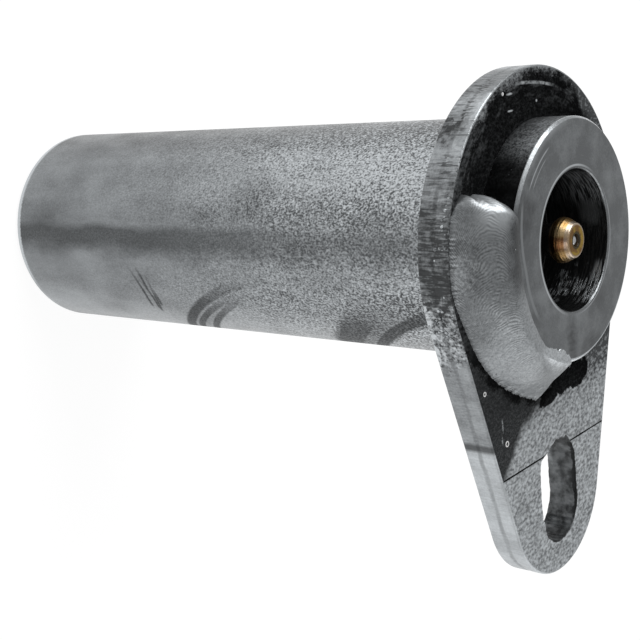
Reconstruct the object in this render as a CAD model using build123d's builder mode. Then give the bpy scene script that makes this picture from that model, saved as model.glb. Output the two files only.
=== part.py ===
"""Loader pin: a greased pivot pin with a flame-cut keeper plate welded round its head.

The pin stands on the end of its shank. The origin is the centre of that end face, +Z runs up the
pin's axis to the head, and the keeper plate's tail points to -Y. Sizes are in millimetres.
"""
import os
from math import cos, radians, sin, sqrt, tan

from build123d import *

# Shank, the length that turns in the bosses
shank_diameter = 35.0
shank_length = 95.5
shank_end_chamfer = 0.8

# Head, turned down a little so that the keeper plate seats against a shoulder
shoulder_width = 0.25
head_height = 5.4
head_chamfer = 0.4

# Keeper plate, flame cut, with a slot for the bolt that keeps it from turning
plate_thickness = 4.75
plate_bore_clearance = 0.05
lobe_radius = 24.5
tail_radius = 13.0
tail_distance = 38.5
plate_arris = 0.3
slot_width = 10.7
slot_length = 16.5
slot_distance = 38.5

# Counterbore that shields the grease nipple
counterbore_diameter = 20.0
counterbore_chamfer = 0.35
nipple_below_face = 0.05

# Grease gallery down the axis, and the cross hole that feeds the shank on its far side
tapped_hole_spare_depth = 1.5
gallery_diameter = 4.5
outlet_diameter = 4.5
outlet_height = 47.0
drill_point_angle = 118.0

# Weld bead, a fillet laid part of the way round the head. Each station along it gives the angle,
# the shares of the plate's land, of the full lap onto the head's face and of the head's height that
# the bead reaches there, and its swell, from 0 for a flat fillet to 1 for a full one.
weld_stations = (
    (149.0, 0.45, 0.00, 0.70, 0.80),
    (150.5, 0.72, 0.10, 0.90, 0.95),
    (153.5, 0.90, 0.30, 1.00, 1.00),
    (158.0, 0.97, 0.50, 1.00, 1.00),
    (170.0, 0.99, 0.85, 1.00, 1.00),
    (186.0, 0.99, 0.95, 1.00, 1.00),
    (201.0, 0.74, 1.00, 1.00, 1.00),
    (222.0, 0.74, 1.00, 1.00, 0.95),
    (246.0, 0.76, 0.95, 1.00, 0.85),
    (256.0, 0.82, 0.60, 1.00, 0.60),
    (262.0, 0.88, 0.05, 0.97, 0.15),
)
weld_slices = 22
weld_lap_width = 1.9
weld_cover_height = 0.4
weld_root_depth = 4.0
weld_sink_depth = 0.3

# Form of a full fillet's swell: how steep its toe is, as a share of the land, how high its shoulder
# and its peak stand, as shares of its crest, and how far out its peak lies, as a share of the land
weld_toe_steepness = 0.12
weld_shoulder_share = 0.62
weld_peak_share = 1.29
weld_peak_out_share = 0.25

# Grease nipple with a hexagon, a short thread and the standard head for a push-on coupler
nipple_hex_flats = 9.0
nipple_hex_height = 3.0
nipple_hex_bevel_angle = 30.0
nipple_stem_height = 7.0
nipple_thread_diameter = 8.0
nipple_thread_length = 5.2
nipple_thread_end_chamfer = 0.5
nipple_thread_clearance = 0.02
nipple_tip_diameter = 5.0
nipple_tip_rounding = 0.3
nipple_collar_length = 0.6
nipple_cone_end = 1.3
nipple_cone_diameter = 6.2
nipple_bulge_start = 1.8
nipple_bulge_end = 2.3
nipple_bulge_diameter = 6.5
nipple_neck_start = 3.7
nipple_neck_diameter = 4.6
nipple_inlet_diameter = 1.9
nipple_seat_depth = 0.6
nipple_crimp_length = 0.8
nipple_crimp_diameter = 1.4

# Check ball, and the spring that holds it against its seat
ball_diameter = 2.4
ball_side_clearance = 0.1
ball_seat_clearance = 0.01
spring_wire_diameter = 0.3
spring_coil_diameter = 1.9
spring_wire_sides = 6
spring_turns = 5.0
spring_end_clearance = 0.02

# Levels and radii that follow from the sizes above
plate_bottom = shank_length
plate_top = plate_bottom + plate_thickness
head_face = plate_top + head_height
shank_radius = shank_diameter / 2
head_radius = shank_radius - shoulder_width
nipple_tip = head_face - nipple_below_face
hex_top = nipple_tip - nipple_stem_height
counterbore_floor = hex_top - nipple_hex_height
nipple_bottom = counterbore_floor - nipple_thread_length
tapped_hole_bottom = nipple_bottom - tapped_hole_spare_depth
ball_radius = ball_diameter / 2
inlet_radius = nipple_inlet_diameter / 2
ball_seat = nipple_tip - nipple_seat_depth
ball_centre = ball_seat - sqrt(ball_radius**2 - inlet_radius**2) - ball_seat_clearance
valve_bore_radius = ball_radius + ball_side_clearance
valve_bore_bottom = nipple_bottom + nipple_crimp_length


# Pin: one turned bar with the shank, shoulder, head, counterbore, tapped hole and grease gallery.
# The shoulder is a small bevel, which the keeper plate's bevelled bore seats on.
drill_point = gallery_diameter / 2 / tan(radians(drill_point_angle / 2))
gallery_bottom = outlet_height - outlet_diameter / 2
with BuildPart() as pin_shaft:
    with BuildSketch(Plane.XZ):
        with BuildLine():
            Polyline(
                (0, 0),
                (shank_radius - shank_end_chamfer, 0),
                (shank_radius, shank_end_chamfer),
                (shank_radius, plate_bottom),
                (head_radius, plate_bottom + shoulder_width),
                (head_radius, head_face - head_chamfer),
                (head_radius - head_chamfer, head_face),
                (0, head_face),
                close=True,
            )
        make_face()
    revolve(axis=Axis.Z)
    with BuildSketch(Plane.XZ):
        with BuildLine():
            Polyline(
                (0, head_face),
                (counterbore_diameter / 2 + counterbore_chamfer, head_face),
                (counterbore_diameter / 2, head_face - counterbore_chamfer),
                (counterbore_diameter / 2, counterbore_floor),
                (nipple_thread_diameter / 2 + nipple_thread_clearance, counterbore_floor),
                (nipple_thread_diameter / 2 + nipple_thread_clearance, tapped_hole_bottom),
                (gallery_diameter / 2, tapped_hole_bottom),
                (gallery_diameter / 2, gallery_bottom),
                (0, gallery_bottom - drill_point),
                close=True,
            )
        make_face()
    revolve(axis=Axis.Z, mode=Mode.SUBTRACT)
    with BuildSketch(Plane.YZ):
        with Locations((0, outlet_height)):
            Circle(outlet_diameter / 2)
    extrude(amount=shank_diameter, mode=Mode.SUBTRACT)
pin_shaft.part.label = "pin_shaft"


# Keeper plate: a round lobe about the pin and a smaller tail, joined by straight flanks
plate_bore_radius = head_radius + plate_bore_clearance
with BuildPart() as keeper_plate:
    with BuildSketch(Plane.XY.offset(plate_bottom)):
        Circle(lobe_radius)
        with Locations((0, -tail_distance)):
            Circle(tail_radius)
        make_hull()
    extrude(amount=plate_thickness)
    chamfer(keeper_plate.edges().filter_by(Plane.XY), plate_arris)
    with BuildSketch(Plane.XY.offset(plate_bottom)):
        Circle(plate_bore_radius)
        with Locations((0, -slot_distance)):
            SlotOverall(slot_length, slot_width, rotation=90)
    extrude(amount=plate_thickness, mode=Mode.SUBTRACT)
    bore_rims = keeper_plate.edges().filter_by(GeomType.CIRCLE).filter_by(
        lambda rim: abs(rim.radius - plate_bore_radius) < plate_bore_clearance
    )
    chamfer(bore_rims.sort_by(Axis.Z)[0], shoulder_width)
keeper_plate.part.label = "keeper_plate"


def weld_shape(angle):
    """Shares of the land, the lap and the head's height, and the swell, between the stations."""
    for near, far in zip(weld_stations, weld_stations[1:]):
        if angle <= far[0]:
            way = (angle - near[0]) / (far[0] - near[0])
            return [low + (high - low) * way for low, high in zip(near[1:], far[1:])]
    return list(weld_stations[-1][1:])


def weld_profile(angle):
    """Corner points of one slice of the bead, as outward and upward distances from the plate's top."""
    land_share, lap_share, end_share, swell = weld_shape(angle)
    toe = head_radius + weld_land * land_share
    crest = head_height * end_share + weld_cover_height
    end_height = head_height * end_share - weld_sink_depth
    inner = head_radius - weld_lap_width * lap_share - weld_sink_depth
    chord = (inner - toe, end_height)
    full_low = (toe - weld_toe_steepness * weld_land, weld_shoulder_share * crest)
    full_high = (head_radius + weld_peak_out_share * weld_land, weld_peak_share * crest)
    low, high = [
        (
            toe + chord[0] * third + swell * (full[0] - toe - chord[0] * third),
            chord[1] * third + swell * (full[1] - chord[1] * third),
        )
        for third, full in ((1 / 3, full_low), (2 / 3, full_high))
    ]
    return (toe, 0), low, high, (inner, end_height)


# Weld bead: radial slices lofted round the head, with the head's own outline cut away so that the
# bead sits on the plate, up the head's side and over its rim
weld_land = lobe_radius - plate_arris - head_radius
weld_start = weld_stations[0][0]
slice_step = (weld_stations[-1][0] - weld_start) / weld_slices
root = head_radius - weld_root_depth
with BuildPart() as weld_bead:
    for slice_number in range(weld_slices + 1):
        slice_angle = weld_start + slice_number * slice_step
        toe_point, low_point, high_point, end_point = weld_profile(slice_angle)
        outward = (cos(radians(slice_angle)), sin(radians(slice_angle)), 0)
        along = (sin(radians(slice_angle)), -cos(radians(slice_angle)), 0)
        with BuildSketch(Plane(origin=(0, 0, plate_top), x_dir=outward, z_dir=along)):
            with BuildLine():
                Bezier(toe_point, low_point, high_point, end_point)
                Polyline(end_point, (root, end_point[1] / 2), (root, 0), toe_point)
            make_face()
    loft(ruled=True)
    with BuildSketch(Plane.XZ):
        with BuildLine():
            Polyline(
                (0, plate_top),
                (head_radius, plate_top),
                (head_radius, head_face - head_chamfer),
                (head_radius - head_chamfer, head_face),
                (0, head_face),
                close=True,
            )
        make_face()
    revolve(axis=Axis.Z, mode=Mode.SUBTRACT)
weld_bead.part.label = "weld_bead"


# Grease nipple: a turned head, neck and thread with a hexagon between, bored through for the valve
with BuildPart() as nipple_body:
    with BuildSketch(Plane.XZ):
        with BuildLine():
            Polyline(
                (0, nipple_bottom),
                (nipple_thread_diameter / 2 - nipple_thread_end_chamfer, nipple_bottom),
                (nipple_thread_diameter / 2, nipple_bottom + nipple_thread_end_chamfer),
                (nipple_thread_diameter / 2, counterbore_floor),
                (nipple_neck_diameter / 2, counterbore_floor),
                (nipple_neck_diameter / 2, nipple_tip - nipple_neck_start),
                (nipple_bulge_diameter / 2, nipple_tip - nipple_bulge_end),
                (nipple_bulge_diameter / 2, nipple_tip - nipple_bulge_start),
                (nipple_cone_diameter / 2, nipple_tip - nipple_cone_end),
                (nipple_tip_diameter / 2, nipple_tip - nipple_collar_length),
                (nipple_tip_diameter / 2, nipple_tip - nipple_tip_rounding),
                (nipple_tip_diameter / 2 - nipple_tip_rounding, nipple_tip),
                (0, nipple_tip),
                close=True,
            )
        make_face()
    revolve(axis=Axis.Z)
    with BuildSketch(Plane.XY.offset(counterbore_floor)):
        RegularPolygon(nipple_hex_flats / 2, 6, major_radius=False)
    extrude(amount=nipple_hex_height)
    with BuildSketch(Plane.XZ):
        with BuildLine():
            Polyline(
                (0, nipple_bottom),
                (nipple_hex_flats, nipple_bottom),
                (nipple_hex_flats, hex_top - nipple_hex_flats / 2 * tan(radians(nipple_hex_bevel_angle))),
                (nipple_hex_flats / 2, hex_top),
                (nipple_hex_flats / 2, nipple_tip),
                (0, nipple_tip),
                close=True,
            )
        make_face()
    revolve(axis=Axis.Z, mode=Mode.INTERSECT)
    with BuildSketch(Plane.XZ):
        with BuildLine():
            Polyline(
                (0, nipple_bottom),
                (nipple_crimp_diameter / 2, nipple_bottom),
                (nipple_crimp_diameter / 2, valve_bore_bottom),
                (valve_bore_radius, valve_bore_bottom),
                (valve_bore_radius, ball_seat),
                (inlet_radius, ball_seat),
                (inlet_radius, nipple_tip),
                (0, nipple_tip),
                close=True,
            )
        make_face()
    revolve(axis=Axis.Z, mode=Mode.SUBTRACT)
nipple_body.part.label = "nipple_body"


# Check ball, held up against the inlet's edge
with BuildPart(Plane.XY.offset(ball_centre)) as nipple_ball:
    Sphere(ball_radius)
nipple_ball.part.label = "nipple_ball"


# Valve spring, from the crimped end of the nipple up to the underside of the ball
coil_radius = spring_coil_diameter / 2
wire_radius = spring_wire_diameter / 2
ball_contact_drop = sqrt((ball_radius + wire_radius) ** 2 - coil_radius**2)
spring_top = ball_centre - ball_contact_drop - spring_end_clearance
spring_bottom = valve_bore_bottom + wire_radius + spring_end_clearance
spring_height = spring_top - spring_bottom
with BuildPart() as nipple_spring:
    with BuildLine() as coil:
        Helix(spring_height / spring_turns, spring_height, coil_radius, center=(0, 0, spring_bottom))
    with BuildSketch(Plane(origin=coil.line @ 0, z_dir=coil.line % 0)):
        RegularPolygon(wire_radius, spring_wire_sides)
    sweep(path=coil.line, is_frenet=True)
nipple_spring.part.label = "nipple_spring"


os.makedirs("parts", exist_ok=True)
for piece in (pin_shaft, keeper_plate, weld_bead, nipple_body, nipple_ball, nipple_spring):
    export_step(piece.part, f"parts/{piece.part.label}.step")
    print(piece.part.label, round(piece.part.volume, 2))
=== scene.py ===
"""Looks of the loader pin: turned bar, flame-cut keeper plate, weld seam and grease nipple.

Sizes are in millimetres and angles in degrees, unless a name says otherwise. The frame is that of
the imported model: the pin stands on its shank's end, +Z up to the head, tail towards -Y.
"""
import logging
import math
from dataclasses import dataclass
from enum import Enum
from functools import reduce
from operator import or_
from typing import Any, Callable, ClassVar, Iterable, Sequence

import bmesh
import bpy
import numpy as np
from mathutils import Matrix, Vector
from mathutils.geometry import delaunay_2d_cdt


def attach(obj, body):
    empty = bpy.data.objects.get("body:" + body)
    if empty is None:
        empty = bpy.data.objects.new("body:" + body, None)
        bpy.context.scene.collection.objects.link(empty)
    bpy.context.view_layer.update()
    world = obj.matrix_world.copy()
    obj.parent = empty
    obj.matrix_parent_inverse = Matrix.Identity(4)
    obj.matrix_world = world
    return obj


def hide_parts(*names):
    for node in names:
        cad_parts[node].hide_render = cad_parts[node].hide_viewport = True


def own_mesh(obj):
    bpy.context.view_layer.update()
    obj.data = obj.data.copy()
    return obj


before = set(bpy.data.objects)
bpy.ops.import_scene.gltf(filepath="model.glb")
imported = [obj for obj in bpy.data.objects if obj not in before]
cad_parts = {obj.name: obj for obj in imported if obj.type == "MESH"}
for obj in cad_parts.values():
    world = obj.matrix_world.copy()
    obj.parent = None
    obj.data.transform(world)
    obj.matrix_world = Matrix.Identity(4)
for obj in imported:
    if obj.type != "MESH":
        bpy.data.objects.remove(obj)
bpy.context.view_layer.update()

MM = 0.001
ORIGIN, EVEN = (0.0, 0.0, 0.0), (1.0, 1.0, 1.0)
KINDS = {tuple: "Vector", float: "Float", int: "Int"}
Colour = Point = tuple[float, float, float]
Row = tuple[float, ...]
Rows = tuple[Row, ...]
Outline = list[tuple[float, float, int]]
Given = dict[str, "Value"]
Piece = bpy.types.Object
Material = bpy.types.Material
log = logging.getLogger("loader_pin")


def steel(level: float) -> Colour:
    """Returns the slightly cool grey of bare steel at a level of light."""
    return (level * 0.95, level, level * 1.035)


# Node trees


def using(operation: str, swapped: bool = False) -> Callable[..., "Value"]:
    """Makes an operator of Value from a Math node's operation.

    Args:
        operation: The Math node's operation.
        swapped: Whether the other value comes first.

    Returns:
        The operator.
    """

    def work(value: "Value", other: Any = 0.0) -> "Value":
        """Joins this value and another by a Math node."""
        first, second = (other, value) if swapped else (value, other)
        return value.sheet.math(operation, first, second)

    return work


class Value:
    """What a socket gives, with Python's operators; | takes the larger and & the smaller."""

    __add__ = __radd__ = using("ADD")
    __sub__, __rsub__ = using("SUBTRACT"), using("SUBTRACT", swapped=True)
    __mul__ = __rmul__ = using("MULTIPLY")
    __truediv__, __rtruediv__ = using("DIVIDE"), using("DIVIDE", swapped=True)
    __or__, __and__, __abs__ = using("MAXIMUM"), using("MINIMUM"), using("ABSOLUTE")
    __lt__, __gt__, sine = using("LESS_THAN"), using("GREATER_THAN"), using("SINE")

    def __init__(self, sheet: "Tree", socket: bpy.types.NodeSocket) -> None:
        """Wraps a socket of a tree."""
        self.sheet, self.socket = sheet, socket

    def held(self, operation: str, other: Any) -> "Value":
        """Works out one sum and keeps it between 0 and 1."""
        return self.sheet.math(operation, self, other, clamp=True)

    def step(self, low: float, high: float) -> "Value":
        """Rises smoothly from 0 at low to 1 at high, or falls where high is the smaller."""
        ends = min(low, high), max(low, high), float(low > high), float(low < high)
        return self.sheet.ramp("SMOOTHSTEP", self, *ends)

    def near(self, middle: float, outer: float, inner: float) -> "Value":
        """Is 1 within inner of the middle and falls to 0 at outer."""
        return abs(self - middle).step(outer, inner)

    def spread(self, low: Any, high: Any) -> "Value":
        """Maps 0..1 to low..high."""
        return self.sheet.ramp("LINEAR", self, 0.0, 1.0, low, high)

    def scale(self, *factors: float) -> "Value":
        """Multiplies a vector's three numbers."""
        return self.sheet.vector("MULTIPLY", self, factors)

    def to(self, colour: Any, mask: "Value") -> "Value":
        """Moves this colour to another where the mask is 1."""
        return self.sheet.blend(mask, self, colour)


class Tree:
    """A node tree with short calls that add nodes and join them."""

    def __init__(self, tree: bpy.types.NodeTree) -> None:
        """Wraps the tree."""
        self.tree = tree

    def node(self, kind: str, inputs: Any = None, **settings: Any) -> bpy.types.Node:
        """Adds a node.

        Args:
            kind: The node's type.
            inputs: Values for its inputs, by name or number.
            settings: Properties of the node itself, which are set first.

        Returns:
            The new node.
        """
        node = self.tree.nodes.new(kind)
        for name, value in settings.items():
            setattr(node, name, value)
        for key, value in (inputs or {}).items():
            self.feed(node.inputs[key], value)
        return node

    def add(self, kind: str, inputs: Any = None, out: str | int = 0, **settings: Any) -> Value:
        """Adds a node and returns what one of its outputs gives."""
        return Value(self, self.node(kind, inputs, **settings).outputs[out])

    def feed(self, socket: bpy.types.NodeSocket, value: Any) -> None:
        """Joins a value to an input, or sets it.

        Args:
            socket: The input.
            value: What a socket gives, or a plain value.
        """
        if isinstance(value, Value):
            self.tree.links.new(value.socket, socket)
        else:
            socket.default_value = (*value, 1.0) if socket.type == "RGBA" else value

    def ramp(self, kind: str, *numbers: Any) -> Value:
        """Maps a value from one range to another; the numbers are the node's inputs in order."""
        return self.add("ShaderNodeMapRange", dict(enumerate(numbers)), interpolation_type=kind)

    def math(self, operation: str, a: Any, b: Any = 0.0, clamp: bool = False) -> Value:
        """Works out one sum with a Math node."""
        return self.add("ShaderNodeMath", {0: a, 1: b}, operation=operation, use_clamp=clamp)

    def vector(self, operation: str, a: Any, b: Any = ORIGIN) -> Value:
        """Works out one sum of vectors; a length, distance or dot product is one number."""
        out = "Value" if operation in ("LENGTH", "DISTANCE", "DOT_PRODUCT") else "Vector"
        return self.add("ShaderNodeVectorMath", {0: a, 1: b}, out, operation=operation)

    def noise(self, place: Any, scale: Any, detail: float, roughness: float = 0.5) -> Value:
        """Adds a noise texture about 0.5."""
        inputs = {"Vector": place, "Scale": scale, "Detail": detail, "Roughness": roughness}
        return self.add("ShaderNodeTexNoise", inputs)

    def join(self, *parts: Any) -> Value:
        """Makes a vector of up to three numbers."""
        return self.add("ShaderNodeCombineXYZ", dict(enumerate(parts)))

    def split(self, vector: Any) -> list[Value]:
        """Returns a vector's three numbers."""
        node = self.node("ShaderNodeSeparateXYZ", {0: vector})
        return [Value(self, socket) for socket in node.outputs]

    def blend(self, share: Any, a: Any, b: Any) -> Value:
        """Mixes two colours: the first where the share is 0, the second where it is 1."""
        return self.add("ShaderNodeMix", {0: share, 6: a, 7: b}, 2, data_type="RGBA")


def open_group(
    tree: bpy.types.NodeTree, inputs: dict[str, Any], outputs: Sequence[str], gives: str
) -> tuple[Tree, Given, bpy.types.Node]:
    """Gives a new tree its sockets.

    Args:
        tree: The tree.
        inputs: Default of each input, or the kind of a socket without one.
        outputs: Names of the outputs.
        gives: Kind of the outputs.

    Returns:
        The tree, what its inputs give, and its output node.
    """
    socket = tree.interface.new_socket
    for label, value in inputs.items():
        kind = KINDS.get(type(value), value)
        made = socket(name=label, in_out="INPUT", socket_type=f"NodeSocket{kind}")
        if kind != value:
            made.default_value = value
    for label in outputs:
        socket(name=label, in_out="OUTPUT", socket_type=f"NodeSocket{gives}")
    sheet = Tree(tree)
    given = {item.name: Value(sheet, item) for item in sheet.node("NodeGroupInput").outputs}
    return sheet, given, sheet.node("NodeGroupOutput")


class Effect(Enum):
    """The shared effects: each one's group name, its inputs beside Place, and its outputs."""

    GRAIN = ("fine_grain", {"Size": 0.4, "Contrast": 1.0}, ("Value",))
    MOTTLE = ("broad_mottle", {"Size": 12.0, "Stretch": EVEN}, ("Value",))
    PATCH = (
        "soft_patch",
        {"Centre": ORIGIN, "Half Size": EVEN, "Softness": 0.3, "Ragged": 0.2, "Rag Size": 1.5},
        ("Mask",),
    )
    SCRATCH = ("fine_scratches", {"Stretch": EVEN, "Share": 0.3}, ("Mask",))
    AROUND = ("around_axis", {}, ("Angle", "Radius", "Height"))
    SPECKS = ("bright_specks", {"Pitch": 1.2, "Share": 0.3, "Size": 0.22}, ("Mask",))


class Effects:
    """Builds each shared effect once, as a shader node group."""

    def __init__(self) -> None:
        """Starts with no group made."""
        self.made: dict[Effect, bpy.types.NodeTree] = {}

    def get(self, effect: Effect) -> bpy.types.NodeTree:
        """Returns the effect's group, and makes it first where needed.

        Args:
            effect: The effect.

        Returns:
            Its node group.
        """
        if effect not in self.made:
            name, inputs, outputs = effect.value
            tree = self.made[effect] = bpy.data.node_groups.new(name, "ShaderNodeTree")
            sheet, given, result = open_group(tree, {"Place": ORIGIN, **inputs}, outputs, "Float")
            values = getattr(self, effect.name.lower())(sheet, given)
            for socket, value in zip(result.inputs, values):
                sheet.feed(socket, value)
        return self.made[effect]

    @staticmethod
    def grain(sheet: Tree, given: Given) -> list[Value]:
        """Fine salt-and-pepper grain about 0.5."""
        noise = sheet.noise(given["Place"], 1 / given["Size"], 1.5, 0.6)
        return [((noise - 0.5) * given["Contrast"] * 2.4).held("ADD", 0.5)]

    @staticmethod
    def mottle(sheet: Tree, given: Given) -> list[Value]:
        """Broad clouds from 0 to 1."""
        place = sheet.vector("MULTIPLY", given["Place"], given["Stretch"])
        return [sheet.noise(place, 1 / given["Size"], 4, 0.55).step(0.3, 0.7)]

    @staticmethod
    def patch(sheet: Tree, given: Given) -> list[Value]:
        """A soft-edged spot with a ragged rim; Softness and Ragged are shares of its size."""
        away = sheet.vector("SUBTRACT", given["Place"], given["Centre"])
        reach = sheet.vector("LENGTH", sheet.vector("DIVIDE", away, given["Half Size"]))
        noise = sheet.noise(given["Place"], 1 / given["Rag Size"], 3)
        inside = 1 - (reach + (noise - 0.5) * given["Ragged"] * 2)
        return [(inside / given["Softness"]).held("ADD", 0.5)]

    @staticmethod
    def scratch(sheet: Tree, given: Given) -> list[Value]:
        """Fine parallel scratches, of which a Share shows."""
        place = sheet.vector("MULTIPLY", given["Place"], given["Stretch"])
        noise = sheet.noise(place, 3, 3, 0.7)
        return [(noise - (0.72 - given["Share"] * 0.3)).held("MULTIPLY", 8)]

    @staticmethod
    def around(sheet: Tree, given: Given) -> list[Value]:
        """Angle from 0 to 360 about the pin's axis, radius and height."""
        x, y, z = sheet.split(given["Place"])
        turn = sheet.math("ARCTAN2", y, x) * (180 / math.pi)
        radius = sheet.vector("LENGTH", given["Place"].scale(1, 1, 0))
        return [sheet.math("FLOORED_MODULO", turn, 360), radius, z]

    @staticmethod
    def specks(sheet: Tree, given: Given) -> list[Value]:
        """Small round specks in a Share of the cells; Size is a share of the pitch."""
        inputs = {"Vector": given["Place"], "Scale": 1 / given["Pitch"]}
        cells = sheet.node("ShaderNodeTexVoronoi", inputs)
        draw = sheet.node("ShaderNodeSeparateColor", {0: Value(sheet, cells.outputs["Color"])})
        first, second = (Value(sheet, draw.outputs[k]) for k in (0, 1))
        size = given["Size"] * second.spread(0.4, 1)
        inside = (size - Value(sheet, cells.outputs["Distance"])).held("MULTIPLY", 14)
        return [inside * (first < given["Share"])]


def sector(turn: Value, reach: Value, row: Row) -> Value:
    """Masks a soft sector.

    Args:
        turn: Angle of the point.
        reach: Its height or radius.
        row: Middle angle, outer and inner half angle, where the reach begins and is full, and
            strength.

    Returns:
        The mask times its strength.
    """
    middle, outer, inner, low, high, strength = row
    return turn.near(middle, outer, inner) * reach.step(low, high) * strength


# Finishes


class Paint(Tree):
    """One material under construction: its shader and the point that it colours, in mm."""

    def __init__(self, name: str, effects: Effects) -> None:
        """Starts the material.

        Args:
            name: The material's name.
            effects: The shared effects.
        """
        self.material = bpy.data.materials.new(name)
        self.material.use_nodes = True
        super().__init__(self.material.node_tree)
        self.tree.nodes.clear()
        self.effects = effects
        self.shader = self.node("ShaderNodeBsdfPrincipled")
        self.node("ShaderNodeOutputMaterial", {0: Value(self, self.shader.outputs[0])})
        self.place = self.add("ShaderNodeTexCoord", out="Object").scale(1000, 1000, 1000)

    def effect(self, effect: Effect, place: Any = None, **inputs: Any) -> list[Value]:
        """Places a shared effect.

        Args:
            effect: The effect.
            place: The point that it reads, or None for the one that is coloured.
            inputs: Its other inputs, with _ for a space.

        Returns:
            What its outputs give.
        """
        node = self.node("ShaderNodeGroup", node_tree=self.effects.get(effect))
        self.feed(node.inputs["Place"], self.place if place is None else place)
        for name, value in inputs.items():
            self.feed(node.inputs[name.replace("_", " ")], value)
        return [Value(self, socket) for socket in node.outputs]

    def around(self) -> list[Value]:
        """Returns the point's angle, radius and height."""
        return self.effect(Effect.AROUND)

    def grain(self, size: float, contrast: float, place: Any = None) -> Value:
        """Places fine grain."""
        return self.effect(Effect.GRAIN, place, Size=size, Contrast=contrast)[0]

    def mottle(self, size: float, place: Any = None, stretch: Point = EVEN) -> Value:
        """Places broad clouds."""
        return self.effect(Effect.MOTTLE, place, Size=size, Stretch=stretch)[0]

    def scratches(self, stretch: Point, share: float, place: Any = None) -> Value:
        """Places fine scratches."""
        return self.effect(Effect.SCRATCH, place, Stretch=stretch, Share=share)[0]

    def specks(self, pitch: float, share: float, size: float) -> Value:
        """Places round specks."""
        return self.effect(Effect.SPECKS, Pitch=pitch, Share=share, Size=size)[0]

    def patch(self, centre: Point, half: Point, *rim: float, place: Any = None) -> Value:
        """Places a soft-edged spot; the rim's numbers are softness, raggedness and its size."""
        inputs = dict(zip(("Softness", "Ragged", "Rag_Size"), rim))
        return self.effect(Effect.PATCH, place, Centre=centre, Half_Size=half, **inputs)[0]

    def finish(
        self,
        colour: Value,
        roughness: Any,
        metallic: Any,
        bumps: Iterable[tuple[Value, float]] = (),
        **constants: float,
    ) -> None:
        """Sets the shader's inputs.

        Args:
            colour: Base colour.
            roughness: Roughness.
            metallic: Metallic.
            bumps: Heights from 0 to 1, each with the height that 1 stands for.
            constants: Other inputs of the shader, with _ for a space.
        """
        inputs = {"Base Color": colour, "Roughness": roughness, "Metallic": metallic}
        for height, size in bumps:
            bump = {"Height": height, "Strength": 1.0, "Distance": size * MM}
            if "Normal" in inputs:
                bump["Normal"] = inputs["Normal"]
            inputs["Normal"] = self.add("ShaderNodeBump", bump)
        for name, value in (inputs | constants).items():
            self.feed(self.shader.inputs[name.replace("_", " ")], value)


class Finish:
    """Base of the finishes."""

    name: ClassVar[str]

    def material(self, effects: Effects) -> Material:
        """Builds the material with the shared effects."""
        self.coat(paint := Paint(self.name, effects))
        return paint.material

    def coat(self, paint: Paint) -> None:
        """Adds the finish's nodes."""


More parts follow.
